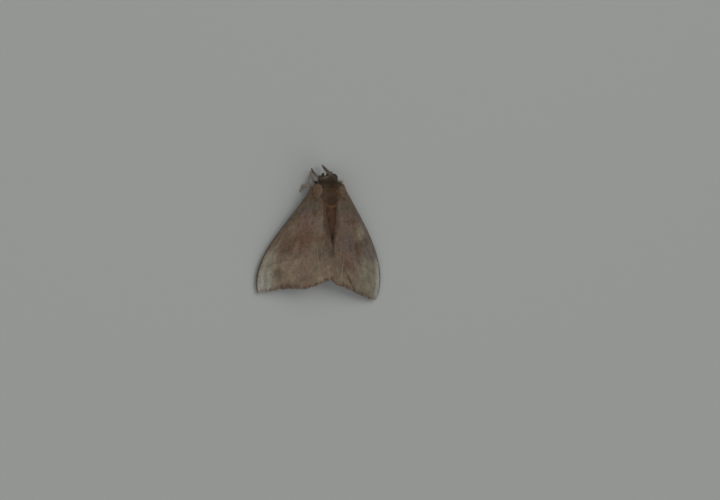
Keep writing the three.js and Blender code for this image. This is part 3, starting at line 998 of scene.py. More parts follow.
def rear_fringe(side, rng):
    """Scales that slant back across the inner margin, longer where the two wings close."""
    even = np.linspace(*REAR_FRINGE_SPAN, FRINGE_COUNT // 2)
    v = np.repeat(REAR_FRINGE_ROWS, len(even))
    jitter = rng.uniform(-REAR_FRINGE_JITTER, REAR_FRINGE_JITTER, len(v))
    u = np.tile(even, len(REAR_FRINGE_ROWS)) + jitter
    roots = wing_roots(side, u, v, SCALE_DEPTH, rng, twist=8)
    closing = smooth((u - CLOSING[0]) / (CLOSING[1] - CLOSING[0]))
    roots = roots._replace(lie=tilted(roots.lie, roots.up, mix(*REAR_FRINGE_SLANT_DEG, closing) * side))
    lengths = REAR_FRINGE_LENGTH * mix(*REAR_FRINGE_GROWTH, closing)
    lengths *= rng.uniform(*REAR_FRINGE_VARIETY, len(u))
    return hair_scales(roots, lengths, FRINGE_LIFT, mix(*REAR_FRINGE_DROOP[side], closing), rng)


def front_edge(side, roll_deg, rng):
    """A row of close scales on the stiff front edge, rolled so far round it."""
    u = np.linspace(*EDGE_SPAN, EDGE_COUNT) + rng.uniform(-EDGE_JITTER, EDGE_JITTER, EDGE_COUNT)
    v = np.full(EDGE_COUNT, WEB_FRONT)
    edge_plan = np.stack([u, v * 0.6], axis=1)
    roots = wing_roots(side, u, v, WEB_DEPTH + WEB_THICKNESS / 2, rng, twist=4, plan=edge_plan)
    facing = tilted(roots.up, roots.lie, -roll_deg * side)
    roots = roots._replace(up=facing, place=roots.place + facing * EDGE_RADIUS)
    lengths = EDGE_LENGTH * rng.uniform(*SCALE_VARIETY, EDGE_COUNT)
    return hair_scales(roots, lengths, EDGE_LIFT, 0, rng)


# %% Put the scales on
UPPER_PITCHES, UPPER_SIZE = (0.16, 0.088), (0.135, 0.34, 0.018)
UNDER_PITCHES, UNDER_SIZE = (0.22, 0.13), (0.19, 0.42, 0.02)
EDGE_ROLLS_DEG = (15.0, 50.0, 85.0, 120.0)
for side, side_name in SIDES:
    rng = np.random.default_rng(20 + side)
    top = wing_scales(side, fore_web, SCALE_DEPTH, False, UPPER_PITCHES, UPPER_SIZE, rng)
    put_coat(f"coat_forewing_{side_name}", [top], WING_TOPS[side], "forewing_scales")
    margins = [fringe(side, rng), rear_fringe(side, rng)]
    margins += [front_edge(side, roll_deg, rng) for roll_deg in EDGE_ROLLS_DEG]
    put_coat(f"coat_margin_{side_name}", margins, WING_TOPS[side], "forewing_scales")
    under = wing_scales(side, fore_web, UNDER_DEPTH, True, UNDER_PITCHES, UNDER_SIZE, rng)
    put_coat(f"coat_forewing_under_{side_name}", [under], WING_UNDER, "forewing_scales")
    hind = wing_scales(side, hind_web, HIND_UNDER_DEPTH, True, UNDER_PITCHES, UNDER_SIZE, rng)
    put_coat(f"coat_hindwing_{side_name}", [hind], HIND_SCALES, "hindwing_scales")

# %% [markdown]
# The inner margin of a hindwing folds down beside the abdomen, and carries long soft hair that
# closes the roof of the wings from below. Locks along that margin, which point to the middle line
# and hang a little, make the same curtain.

# %% Hair under the ridge
CURTAIN_COUNT = 420
CURTAIN_ALONG, CURTAIN_ACROSS = (0.05, 0.96), (0.9, 0.99)  # the zone of the hindwing that carries it
CURTAIN_LENGTH, CURTAIN_WIDTH, CURTAIN_THICKNESS = 1.25, 0.09, 0.05
CURTAIN_VARIETY = (0.75, 1.1)
CURTAIN_SLANT_DEG, CURTAIN_SWAY_DEG, CURTAIN_BEND = -65.0, 10, 0.1
CURTAIN_HANG = (0.0, 0.14)
for side, side_name in SIDES:
    rng = np.random.default_rng(40 + side)
    a = rng.uniform(*CURTAIN_ALONG, CURTAIN_COUNT)
    b = rng.uniform(*CURTAIN_ACROSS, CURTAIN_COUNT)
    u, v, plan = on_wing(hind_web, np.stack([a, b], axis=1))
    roots = wing_roots(side, u, v, HIND_UNDER_DEPTH, rng, twist=0, below=True, plan=plan)
    slant = (CURTAIN_SLANT_DEG + rng.normal(0, CURTAIN_SWAY_DEG, CURTAIN_COUNT)) * side
    roots = roots._replace(lie=tilted(roots.lie, roots.up, slant))
    lengths = CURTAIN_LENGTH * mix(0.6, 1, smooth(a * 3))
    lengths *= rng.uniform(*CURTAIN_VARIETY, CURTAIN_COUNT)
    sizes = sizes_of(CURTAIN_WIDTH, lengths, CURTAIN_THICKNESS)
    hang = rng.uniform(*CURTAIN_HANG, CURTAIN_COUNT)
    curtain = plant(LOCK, roots, sizes, hang, 0, rng, CURTAIN_BEND)
    put_coat(f"coat_hindwing_fold_{side_name}", [curtain], FOLD_HAIR, "hindwing_scales")

# %% [markdown]
# ## One skin for the whole body
#
# Head, thorax, abdomen and legs are one skin, with no seams. The easy way is to model each part as
# a plain closed shape, let them run into one another, and have a voxel remesh melt them into a
# single surface, which a few rounds of smoothing then soften. The skin is smaller than the animal's
# outline by the depth of its coat. Each part also notes the way its coat lies.

# %% Shapes of the body
Egg = namedtuple("Egg", "front back half_width up down height taper droop")
THORAX = Egg(-12, -6.9, 2.7, 2.3, 1.95, 2.75, 0.08, 0)
ABDOMEN = Egg(-8.6, 3.6, 2.05, 1.54, 1.75, 2.6, 0.32, 0.55)
NECK = Egg(-12.1, -10.4, 2.45, 1.75, 1.5, 2.85, 0, 0)
HEAD = Egg(-1.25, 1.35, 1.72, 1.45, 1.35, 0, -0.1, 0)
SHOULDER_PAD = Egg(-1.75, 1.7, 1.2, 1.2, 1.1, 0, 0, 0)
SHOULDER_PAD_PLACE = np.array([2.2, -10.1, 3.15])
COAT_DEPTH = {"thorax": 0.4, "pad": 0.36, "abdomen": 0.14, "head": 0.24}
SEGMENTS = 8  # rings of the abdomen
SEGMENT_STEP = 0.06  # each ring widens backwards by this share
PAD_SPREAD = 0.4  # the pads' hair turns outwards by this much
PART_NAMES = ("thorax", "pad", "abdomen", "head", "palp", "leg")
part_number = PART_NAMES.index

flesh = bmesh.new()
face_part, face_lie = [], []


def add_flesh(shape, part, lie):
    """Adds a closed shape, and notes the part and the lie of the coat for each of its faces."""
    centres = np.array([face.calc_center_median() for face in shape.faces])
    face_part.extend([part_number(part)] * len(centres))
    face_lie.extend(np.broadcast_to(lie(centres), centres.shape))
    pour(shape, flesh)


def add_egg(size, part, place, lie, ripple=0.0):
    """Adds an egg along Y, smaller than its outline by the depth of the coat."""
    bm = bmesh.new()
    bmesh.ops.create_uvsphere(bm, u_segments=48, v_segments=32, radius=1)
    grow = -COAT_DEPTH[part]

    def shape(ball):
        along = (ball[:, 1] + 1) / 2
        slim = 1 - size.taper * along
        ring = 1 + ripple * ((along * SEGMENTS) % 1 - 0.5)
        depth = np.where(ball[:, 2] > 0, size.up, size.down)
        x = ball[:, 0] * (size.half_width * slim + grow) * ring
        y = size.front - grow + (size.back - size.front + 2 * grow) * along
        z = size.height - size.droop * along + ball[:, 2] * (depth * slim + grow) * ring
        return place(np.stack([x, y, z], axis=1))

    add_flesh(reshape(bm, shape), part, lambda centres: lie)


THORAX_LIE = turned([0, 1, 0.45], BODY_TURN_DEG)
ABDOMEN_LIE = turned([0, 1, -0.1], BODY_TURN_DEG)
HEAD_LIE = turned([0, -0.8, -0.6], BODY_TURN_DEG + HEAD_TURN_DEG)
add_egg(THORAX, "thorax", on_body, THORAX_LIE)
add_egg(NECK, "thorax", on_body, THORAX_LIE)
add_egg(ABDOMEN, "abdomen", on_body, ABDOMEN_LIE, SEGMENT_STEP)
add_egg(HEAD, "head", on_head, HEAD_LIE)
for side, _ in SIDES:
    pad_place = SHOULDER_PAD_PLACE * (side, 1, 1)
    pad_lie = THORAX_LIE + (PAD_SPREAD * side, 0, -0.1)
    add_egg(SHOULDER_PAD, "pad", lambda points: on_body(points + pad_place), pad_lie)
print("body shapes:", len(flesh.faces), "faces")

# %% [markdown]
# ## Legs and palps
#
# An insect's leg has a thick femur, a slimmer tibia and a thin foot of five small joints that lies
# flat on the floor. The legs are short under the roof of the wings, and the hind ones trail back.

# %% Legs and palps
Leg = namedtuple("Leg", "name hip knee ankle toe")
LEGS = (
    Leg("fore", (1.0, -11.0, 1.3), (2.45, -12.05, 1.55), (2.2, -12.95, 0.55), (2.1, -13.6, 0.2)),
    Leg("mid", (1.4, -10.1, 1.1), (3.1, -10.95, 1.55), (3.8, -11.1, 0.5), (4.2, -10.25, 0.2)),
    Leg("hind", (1.2, -8.6, 1.1), (2.9, -6.4, 1.45), (3.05, -1.6, 0.6), (3.3, 2.6, 0.2)),
)
HIP_INSIDE = np.array([-0.35, 0.1, 0.9])  # the leg starts this far inside the thorax
FEMUR, TIBIA, PALP = spindle(0.3, 0.34, 0.2), spindle(0.19, 0.26, 0.17), spindle(0.2, 0.2, 0.12)
PALP_POINTS = np.array([(0.42, -0.75, -0.85), (0.46, -1.1, -0.85), (0.44, -1.4, -0.65)])
FOOT_RADIUS = 0.15
FOOT_TAPER, FOOT_WAIST, FOOT_JOINTS = 0.75, 0.14, 5
FEMUR_ARCH, TIBIA_ARCH, FOOT_ARCH = 0.12, 0.1, -0.14
FOOT_DROP = 0.06  # the foot lies this much lower than the middle of its outline


def foot_radius(t):
    """A foot thins to its tip, and is narrower where its joints meet."""
    joint = 1 - FOOT_WAIST + FOOT_WAIST * np.abs(np.sin(math.pi * FOOT_JOINTS * t))
    return FOOT_RADIUS * mix(1, FOOT_TAPER, t) * joint


def towards_tip(curve):
    """The lie of a limb's coat: along its curve, from root to tip."""
    slope = unit(np.gradient(curve, axis=0))

    def lie(centres):
        gaps = np.linalg.norm(centres[:, None] - curve[None], axis=2)
        return slope[gaps.argmin(axis=1)]

    return lie


def add_limb(points, radius, part, sides=14, steps=14):
    """Adds a limb, more finely cut where it has small joints."""
    add_flesh(limb(points, radius, sides, steps), part, towards_tip(smooth_curve(points)))


def arched(a, b, arch):
    """Three points from a to b, the middle one lifted by the arch."""
    a, b = np.asarray(a, float), np.asarray(b, float)
    return np.stack([a, mix(a, b, 0.5) + (0, 0, arch), b])


def leg_points(leg, side):
    """The three arched segments of a leg on its own side of the body: femur, tibia and foot."""
    hip, knee, ankle, toe = (np.array(joint) * (side, 1, 1) for joint in leg[1:])
    coxa = hip + HIP_INSIDE * (side, 1, 1)
    femur = np.vstack([coxa, arched(hip, knee, FEMUR_ARCH)])
    tibia = arched(knee, ankle, TIBIA_ARCH)
    foot = arched(ankle, toe - (0, 0, FOOT_DROP), FOOT_ARCH)
    return [on_body(points) for points in (femur, tibia, foot)]


LEG_CURVES = [(leg.name, *leg_points(leg, side)) for leg in LEGS for side, _ in SIDES]
for _, femur, tibia, foot in LEG_CURVES:
    add_limb(femur, FEMUR, "leg")
    add_limb(tibia, TIBIA, "leg")
    add_limb(foot, foot_radius, "leg", 12, 30)
for side, _ in SIDES:
    add_limb(on_head(PALP_POINTS * (side, 1, 1)), PALP, "palp")
print("with legs and palps:", len(flesh.faces), "faces")

# %% Melt them into one skin
VOXEL = 0.06
SOFTENING, SOFTENING_ROUNDS = 0.5, 6
flesh_tree = BVHTree.FromBMesh(flesh)
lump = placed("flesh", as_mesh(flesh, "flesh"))
remesh = lump.modifiers.new("melt", "REMESH")
remesh.mode, remesh.voxel_size = "VOXEL", VOXEL
soften = lump.modifiers.new("soften", "SMOOTH")
soften.factor, soften.iterations = SOFTENING, SOFTENING_ROUNDS
melted = lump.evaluated_get(bpy.context.evaluated_depsgraph_get())
skin = bpy.data.meshes.new_from_object(melted)
skin.name = "moth_skin"
bpy.data.objects.remove(lump)
print("skin:", len(skin.polygons), "faces")

# %% [markdown]
# ## What each face of the skin knows
#
# The remesh forgets which part a face came from, so each new face asks the old shapes: the nearest
# old face gives its part and the lie of its coat. Then the skin is unwrapped. Every lock will stand
# on a face and take the face's place on that unwrap as its own.


# %% Faces of the skin
def read_all(items, field, width, kind=float):
    """One field of every face or corner of a mesh, as an array."""
    values = np.zeros(len(items) * width, kind)
    items.foreach_get(field, values)
    return values.reshape(-1, width)


UNWRAP_ANGLE_DEG, UNWRAP_MARGIN = 75, 0.003
centres = read_all(skin.polygons, "center", 3)
normals = unit(read_all(skin.polygons, "normal", 3))
nearest = [flesh_tree.find_nearest(Vector(centre))[2] for centre in centres]
part_of = np.array(face_part)[nearest]
lie_of = np.array(face_lie)[nearest]
# On the rear ends of the thorax and the pads the hair turns down, so that none of it stands up.
rear_end = smooth(normals[:, 1:2] + 0.2) * (part_of < part_number("abdomen"))[:, None]
lie_of = mix(lie_of, lie_of * (1, 0.6, 0) - UP, rear_end)
for polygon, part in zip(skin.polygons, part_of):
    polygon.material_index = int(part)
skin.transform(Matrix.Scale(MM, 4))
skin.shade_smooth()
flesh_nodes = ["thorax", "abdomen", "head", "palp_left", "palp_right"]
for leg in LEGS:
    for segment in ("femur", "tibia", "tarsus"):
        flesh_nodes += [f"{leg.name}leg_{segment}_{side_name}" for _, side_name in SIDES]
skin_piece = put_in_scene(skin, "body_hair", *flesh_nodes)

skin.uv_layers.new(name="OFBake")
bpy.context.view_layer.objects.active = skin_piece
skin_piece.select_set(True)
bpy.ops.object.mode_set(mode="EDIT")
bpy.ops.mesh.select_all(action="SELECT")
bpy.ops.uv.smart_project(angle_limit=math.radians(UNWRAP_ANGLE_DEG), island_margin=UNWRAP_MARGIN)
bpy.ops.object.mode_set(mode="OBJECT")
skin_piece.select_set(False)
corner_places = read_all(skin.uv_layers["OFBake"].data, "uv", 2)
first_corners = read_all(skin.polygons, "loop_start", 1, int)[:, 0]
corner_counts = read_all(skin.polygons, "loop_total", 1, int)
bake_of = np.add.reduceat(corner_places, first_corners, axis=0) / corner_counts
print("faces of each part:", dict(zip(PART_NAMES, np.bincount(part_of).tolist())))

# %% [markdown]
# ## Colours of the body
#
# The head and the neck are a dark, dull brown. The thorax is brown, redder along its middle line,
# and fawn on the shoulders, and the crest between the wings is chestnut. Skin and coat share one
# material for each part, so that no pale skin shines through.

# %% Materials of the body
MIDLINE = on_body([[0, -9, 0]])[0]
CLOUD_SCALE = 2.2


def body_place(tree):
    """Object coordinates in mm, with x = 0 on the body's middle line."""
    spot = node(tree, "TexCoord", {}).outputs["Object"]
    location, turn_angle = Vector(MIDLINE) * MM, (0, 0, math.radians(BODY_TURN_DEG))
    inputs = {"Vector": spot, "Location": location, "Rotation": turn_angle, "Scale": (MM, MM, MM)}
    return node(tree, "Mapping", inputs, vector_type="TEXTURE").outputs[0]


def hair_colour(tree, ground, middle, half_middle, tip, cloud_scale=CLOUD_SCALE, ruff=0.0):
    """Hair or scales of one part: a ground, a darker middle line, paler tips and a clouded tone.

    ruff is how strongly the part darkens towards the neck."""
    place = body_place(tree)
    axes = node(tree, "SeparateXYZ", {0: place}).outputs
    off_middle = worked_out(tree, "ABSOLUTE", axes["X"])
    band = stepped(tree, off_middle, half_middle * 1.4, half_middle * 0.6)
    upper = worked_out(tree, "MULTIPLY", band, stepped(tree, axes["Z"], *UPPER_SIDE))
    colour = painted_over(tree, ground, middle, upper)
    colour = painted_over(tree, colour, tip, stepped(tree, attribute(tree, "reach"), *TIPS))
    if ruff:
        colour = painted_over(tree, colour, RUFF, stepped(tree, axes["Y"], *RUFF_REACH, ruff))
    return clouded(tree, colour, place, cloud_scale, 4, 0.5, 0.25)


def body_coat(name, *details):
    return new_material(name, hair_colour, *details, roughness=0.7, sheen=0.08, gloss=0.18)


UPPER_SIDE = (1.6, 2.6)  # heights between which the middle line appears
TIPS = (0.2, 1.1, 0.6)  # from here to there along a lock its tip colour comes in, so strongly
RUFF_REACH = (-1.9, -2.7)  # along the body, from the middle of the thorax
RED_BROWN, RUFF = (0.135, 0.077, 0.037), (0.112, 0.085, 0.052)
BROWN, PALE_BROWN = (0.2, 0.135, 0.077), (0.25, 0.168, 0.098)
FAWN, PALE_FAWN = (0.33, 0.218, 0.14), (0.45, 0.32, 0.217)
WARM, DARK_WARM, PALE_WARM = (0.3, 0.21, 0.14), (0.2, 0.1, 0.055), (0.25, 0.14, 0.09)
CHESTNUT, DARK_CHESTNUT = (0.37, 0.2, 0.115), (0.25, 0.135, 0.08)
SOOT, DARK_SOOT, PALE_SOOT = (0.17, 0.125, 0.08), (0.14, 0.1, 0.063), (0.28, 0.22, 0.148)
SAND, DARK_SAND, PALE_SAND = (0.5, 0.42, 0.32), (0.45, 0.37, 0.28), (0.62, 0.54, 0.44)
THORAX_COAT = body_coat("thorax_hair", BROWN, RED_BROWN, 1.0, PALE_BROWN, CLOUD_SCALE, 0.95)
PAD_COAT = body_coat("shoulder_hair", FAWN, RED_BROWN, 0.5, PALE_FAWN, CLOUD_SCALE, 0.8)
ABDOMEN_COAT = body_coat("abdomen_scales", WARM, DARK_WARM, 0.9, PALE_WARM)
CREST_COAT = body_coat("crest_hair", CHESTNUT, CHESTNUT, 0.9, DARK_CHESTNUT)
HEAD_COAT = body_coat("head_hair", SOOT, DARK_SOOT, 0.6, PALE_SOOT, 4)
LEG_COAT = body_coat("leg_scales", SAND, DARK_SAND, 0.3, PALE_SAND, 5)
COATS = dict(zip(PART_NAMES, (THORAX_COAT, PAD_COAT, ABDOMEN_COAT, HEAD_COAT, HEAD_COAT, LEG_COAT)))
for coat in COATS.values():
    skin.materials.append(coat)

# %% [markdown]
# ## The coat of the body
#
# Locks are planted on faces that are picked at random but never too close together. Each lies along
# the skin the way its part says, lifted a little at the root and drooping at the tip. They are long
# and shaggy on the thorax, longest on the shoulder pads, which sweep back over the roots of the
# wings, and short on the head and the feet.


# %% Picking roots
def spaced(points, gap, rng):
    """Indices of points in random order, with none nearer to another than the gap."""
    tree = KDTree(len(points))
    for index, point in enumerate(points):
        tree.insert(point, index)
    tree.balance()
    free = np.ones(len(points), bool)
    chosen = []
    for index in rng.permutation(len(points)):
        if free[index]:
            chosen.append(index)
            for _, other, _ in tree.find_range(points[index], gap):
                free[other] = False
    return np.array(chosen)


EYE_RADIUS = 0.74
EYE_PLACE = np.array([1.16, -0.42, -0.02])
EYES = {side: on_head([EYE_PLACE * (side, 1, 1)])[0] for side, _ in SIDES}
EYE_CLEARANCE = 0.02  # no root is nearer to an eye
PARTING, PARTING_STRENGTH = 0.45, 1.2  # how near an eye locks turn aside, and how sharply


def off_eyes(points):
    """How far points are from the nearer eye's surface, and the direction to its centre."""
    gaps = np.stack([eye - points for eye in EYES.values()])
    far = np.linalg.norm(gaps, axis=2)
    nearer = far.argmin(axis=0)
    every = np.arange(len(points))
    return far[nearer, every] - EYE_RADIUS, unit(gaps[nearer, every])


def laid_along(directions, surface_normals):
    """Directions laid flat on a surface."""
    flat = directions - surface_normals * np.sum(directions * surface_normals, axis=1, keepdims=True)
    return unit(flat + 1e-6)


def body_roots(faces, lie, rng, sway):
    """Roots on some faces of the skin. The coat lies along the surface, and parts at the eyes."""
    away, to_eye = off_eyes(centres[faces])
    facing_eye = np.maximum(np.sum(lie * to_eye, axis=1), 0) * smooth(1.3 - away / PARTING)
    lie = laid_along(lie - PARTING_STRENGTH * facing_eye[:, None] * to_eye, normals[faces])
    lie = tilted(lie, normals[faces], rng.normal(0, sway, len(faces)))
    return Roots(centres[faces], lie, normals[faces], bake_of[faces], bake_of[faces])


Hair = namedtuple("Hair", "tuft gap width length thick lift droop sway bend")
LAYERS = {  # for each part the short dense layer, and the longer one that shows
    "thorax": (
        Hair(SHORT_LOCK, 0.085, 0.12, 0.5, 0.05, 0.42, 0.2, 18, 0.1),
        Hair(LOCK, 0.066, 0.06, 1.15, 0.04, 0.22, 0.3, 12, 0.13),
    ),
    "pad": (
        Hair(SHORT_LOCK, 0.085, 0.12, 0.55, 0.05, 0.4, 0.2, 16, 0.1),
        Hair(LOCK, 0.062, 0.06, 1.75, 0.04, 0.24, 0.4, 10, 0.11),
    ),
    "abdomen": (
        Hair(SCALE, 0.085, 0.17, 0.4, 0.02, 0.22, 0.05, 9, 0),
        Hair(LOCK, 0.24, 0.06, 0.75, 0.04, 0.26, 0.12, 9, 0.1),
    ),
    "head": (
        Hair(SHORT_LOCK, 0.065, 0.08, 0.26, 0.04, 0.4, 0.2, 14, 0.1),
        Hair(LOCK, 0.085, 0.055, 0.5, 0.035, 0.6, 0.35, 14, 0.12),
    ),
    "palp": (
        Hair(SHORT_LOCK, 0.06, 0.07, 0.25, 0.04, 0.4, 0.2, 10, 0.1),
        Hair(LOCK, 0.12, 0.045, 0.42, 0.03, 0.4, 0.2, 10, 0.1),
    ),
    "leg": (
        Hair(SHORT_LOCK, 0.085, 0.11, 0.27, 0.04, 0.3, 0.12, 9, 0),
        Hair(LOCK, 0.22, 0.05, 0.48, 0.03, 0.4, 0.16, 9, 0.12),
    ),
}
SLOTS = ("body_hair", "body_hair", "abdomen_hair", "head_hair", "head_hair", "leg_scales")
COAT_SLOTS = dict(zip(PART_NAMES, SLOTS))
HAIR_VARIETY, LIFT_VARIETY = (0.75, 1.2), (0.7, 1.25)
EYE_TRIM, EYE_TRIM_REACH = 0.5, 0.5  # locks are shorter by this share at an eye, out to this far
FLOOR_CLEARANCE = 0.01
CEILING = 4.85  # no lock stands higher than this, save for its bend
PAD_CEILING = 4.5
SHORTEST = 0.15  # a lock whose root is above its ceiling keeps this length
FRONT_TRIM = 0.5  # locks that face forwards are shorter by this share
CURL = {"thorax": 0.5, "pad": 0.9}  # locks that climb bend over, and follow the back's curve


def layer_of(hair, faces, lie, rng, ceiling, curl=0.0):
    """One layer of a coat on some faces of the skin."""
    picked = spaced(centres[faces], hair.gap, rng)
    faces, lie = faces[picked], lie[picked]
    roots = body_roots(faces, lie, rng, hair.sway)
    sizes = varied_sizes((hair.width, hair.length, hair.thick), len(faces), *HAIR_VARIETY, rng)
    near_eye = off_eyes(centres[faces])[0]
    sizes[:, 1] *= mix(1 - EYE_TRIM, 1, smooth(near_eye / EYE_TRIM_REACH))
    sizes[:, 1] *= 1 - FRONT_TRIM * np.maximum(-normals[faces, 1], 0)
    lift = hair.lift * rng.uniform(*LIFT_VARIETY, len(faces))
    droop = hair.droop + curl * np.maximum(roots.lie[:, 2], 0)
    climb = roots.lie[:, 2] + roots.up[:, 2] * (lift - droop)
    room = (ceiling - roots.place[:, 2]) / np.maximum(climb, 0.01)
    sizes[:, 1] = np.minimum(sizes[:, 1], np.maximum(room, SHORTEST))
    return plant(hair.tuft, roots, sizes, lift, droop, rng, hair.bend, FLOOR_CLEARANCE)


for number, part in enumerate(PART_NAMES):
    rng = np.random.default_rng(100 + number)
    faces = np.flatnonzero(part_of == number)
    faces = faces[off_eyes(centres[faces])[0] > EYE_CLEARANCE]
    ceiling, curl = PAD_CEILING if part == "pad" else CEILING, CURL.get(part, 0.0)
    layers = [layer_of(hair, faces, lie_of[faces], rng, ceiling, curl) for hair in LAYERS[part]]
    put_coat(f"coat_{part}", layers, COATS[part], COAT_SLOTS[part])

# %% [markdown]
# Longer locks in a few places give a moth its shape. The collar stands round the neck like a ruff
# and fills the dip between the head and the shoulders. The crest runs along the abdomen's back and
# fills the ridge of the wings. Before it a tuft covers the waist, and behind it a lining fills the
# space below the closed roof. The tail tuft closes the end of the abdomen.

# %% Longer tufts
COLLAR = Hair(LOCK, 0.06, 0.05, 1.2, 0.035, 0.2, 0.28, 12, 0.12)
COLLAR_CEILING = 4.6
COLLAR_FAN, COLLAR_LEAN = (1.3, 1, 0.8), (0, -0.5, 0)
CREST = Hair(LOCK, 0.075, 0.07, 1.0, 0.04, 0.7, 0.15, 12, 0.12)
LINING = Hair(LOCK, 0.07, 0.08, 1.4, 0.045, 0.9, 0.1, 16, 0.15)
LINING_CEILING = 3.95
WAIST = Hair(LOCK, 0.08, 0.075, 1.3, 0.045, 0.5, 0.2, 14, 0.15)
TAIL = Hair(LOCK, 0.08, 0.075, 1.1, 0.045, 0.14, 0.05, 8, 0.08)
COLLAR_ZONE, COLLAR_LOWEST, COLLAR_MIDDLE = (-12.1, -10.8), 1.6, 2.7  # along the body, and heights
CREST_ZONE, CREST_HALF_WIDTH = (-7.6, 3.0), 0.55
LINING_ZONE, LINING_HALF_WIDTH = (0.2, 2.5), 0.9
WAIST_ZONE, WAIST_HALF_WIDTH = (-8.4, -6.2), 2.0
TAIL_START = 2.4

straight = turned(centres + FOOTPRINT_MIDDLE, -BODY_TURN_DEG)
along_body = straight[:, 1]
body_part = part_of < part_number("head")


def on_back(zone, half_width):
    """The faces that look upwards in a stretch of the body, near its middle line."""
    within = (along_body > zone[0]) & (along_body < zone[1]) & (normals[:, 2] > 0.5)
    return within & (np.abs(straight[:, 0]) < half_width)


def extra_tuft(name, hair, chosen, lie, material, seed, ceiling=CEILING, slot="abdomen_hair"):
    faces = np.flatnonzero(body_part & chosen)
    rng = np.random.default_rng(seed)
    tuft = layer_of(hair, faces, np.broadcast_to(lie, centres.shape)[faces], rng, ceiling)
    put_coat(name, [tuft], material, slot)


neck = (along_body > COLLAR_ZONE[0]) & (along_body < COLLAR_ZONE[1])
neck &= (straight[:, 2] > COLLAR_LOWEST) & (part_of == part_number("thorax"))
outwards = unit(straight * (1, 0, 1) - (0, 0, COLLAR_MIDDLE))
ruff_lie = turned(outwards * COLLAR_FAN + COLLAR_LEAN, BODY_TURN_DEG)
back_line = on_back(CREST_ZONE, CREST_HALF_WIDTH)
under_roof = on_back(LINING_ZONE, LINING_HALF_WIDTH)
waist = on_back(WAIST_ZONE, WAIST_HALF_WIDTH)
extra_tuft("coat_collar", COLLAR, neck, ruff_lie, THORAX_COAT, 120, COLLAR_CEILING, "body_hair")
extra_tuft("coat_crest", CREST, back_line, ABDOMEN_LIE, CREST_COAT, 121)
extra_tuft("coat_lining", LINING, under_roof, ABDOMEN_LIE, CREST_COAT, 123, LINING_CEILING)
extra_tuft("coat_waist", WAIST, waist, THORAX_LIE, CREST_COAT, 124, LINING_CEILING)
extra_tuft("coat_tail", TAIL, along_body > TAIL_START, ABDOMEN_LIE, ABDOMEN_COAT, 122)

# %% [markdown]
# ## Compound eyes
#
# A moth's eye is a dome of thousands of six-sided lenses. An icosphere is the right start: cutting
# off each of its corners a third of the way along the edges turns every corner and every triangle
# into a six-sided facet. Each facet is then raised to a low dome.


# %% Eyes
BALL_RADIUS = EYE_RADIUS - 0.02  # the facets make up the rest
FACET_RIM, DOME_HEIGHT = 0.006, 0.004


def faceted_eye(side, side_name, material):
    bm = bmesh.new()
    bmesh.ops.create_icosphere(bm, subdivisions=4, radius=BALL_RADIUS)
    bmesh.ops.bevel(
        bm, geom=bm.verts, offset=100 / 3, offset_type="PERCENT", affect="VERTICES",
        segments=1, profile=0.5, material=-1, clamp_overlap=False,
    )
    bmesh.ops.inset_individual(bm, faces=bm.faces, thickness=FACET_RIM, depth=FACET_RIM)
    domes = [face for face in bm.faces if len(face.verts) > 4]
    bmesh.ops.poke(bm, faces=domes, offset=DOME_HEIGHT)
    bmesh.ops.translate(bm, vec=EYES[side], verts=bm.verts)
    mesh = finished(bm, f"compound_eye_{side_name}", (material,))
    put_in_scene(mesh, "eye", f"eye_{side_name}")


EYE_DARK, EYE_BROWN = (0.012, 0.008, 0.006), (0.05, 0.026, 0.015)
EYE_LOOK = {"roughness": 0.22, "sheen": 0.0, "gloss": 0.6}
eye_material = new_material("compound_eye", mottled, EYE_DARK, EYE_BROWN, 900, (0.4, 0.7), **EYE_LOOK)
for side, side_name in SIDES:
    faceted_eye(side, side_name, eye_material)

# %% [markdown]
# ## Feelers
#
# The feelers are short and feathery: a ringed shaft with a row of fine branches on each side, which
# is longest in the middle. Every branch is a thin limb that bends towards the tip.

# %% Feelers
ANTENNAE = {
    LEFT: (
        (0.6, -12.25, 3.3),
        (0.85, -12.65, 3.75),
        (1.6, -12.3, 3.9),
        (2.45, -12.4, 3.25),
        (2.85, -13.25, 2.1),
        (2.75, -14.1, 1.0),
    ),
    RIGHT: (
        (-0.15, -12.2, 3.25),
        (-0.25, -12.65, 3.7),
        (0.35, -13.1, 3.6),
        (0.7, -13.75, 2.85),
        (0.8, -14.35, 2.0),
        (0.75, -14.8, 1.2),
    ),
}
BRANCHES = 34
BRANCHED_PART = (0.2, 0.98)  # branches start and end at these shares of the shaft
BRANCH_ARC = (0.2, 0.975)  # their lengths follow this part of an arch
BRANCH_LENGTH, BRANCH_SWEEP, BRANCH_SAG = 0.42, 0.26, 0.06
BRANCH_BEND, BRANCH_BEND_SWEEP = 0.62, 0.08  # a branch bends at this share of its reach
BRANCH = spindle(0.034, 0.03, 0.012)
SHAFT_RINGS, RING_DEPTH = 40, 0.07
SHAFT_ROOT, SHAFT_TIP = 0.12, 0.055
SOCKET, SOCKET_END = 0.07, 0.2  # the shaft is thicker by this much, up to this share of it


def shaft_radius(t):
    rings = 1 + RING_DEPTH * np.cos(2 * math.pi * SHAFT_RINGS * t)
    return mix(SHAFT_ROOT, SHAFT_TIP, t) * rings + SOCKET * smooth(1 - t / SOCKET_END)


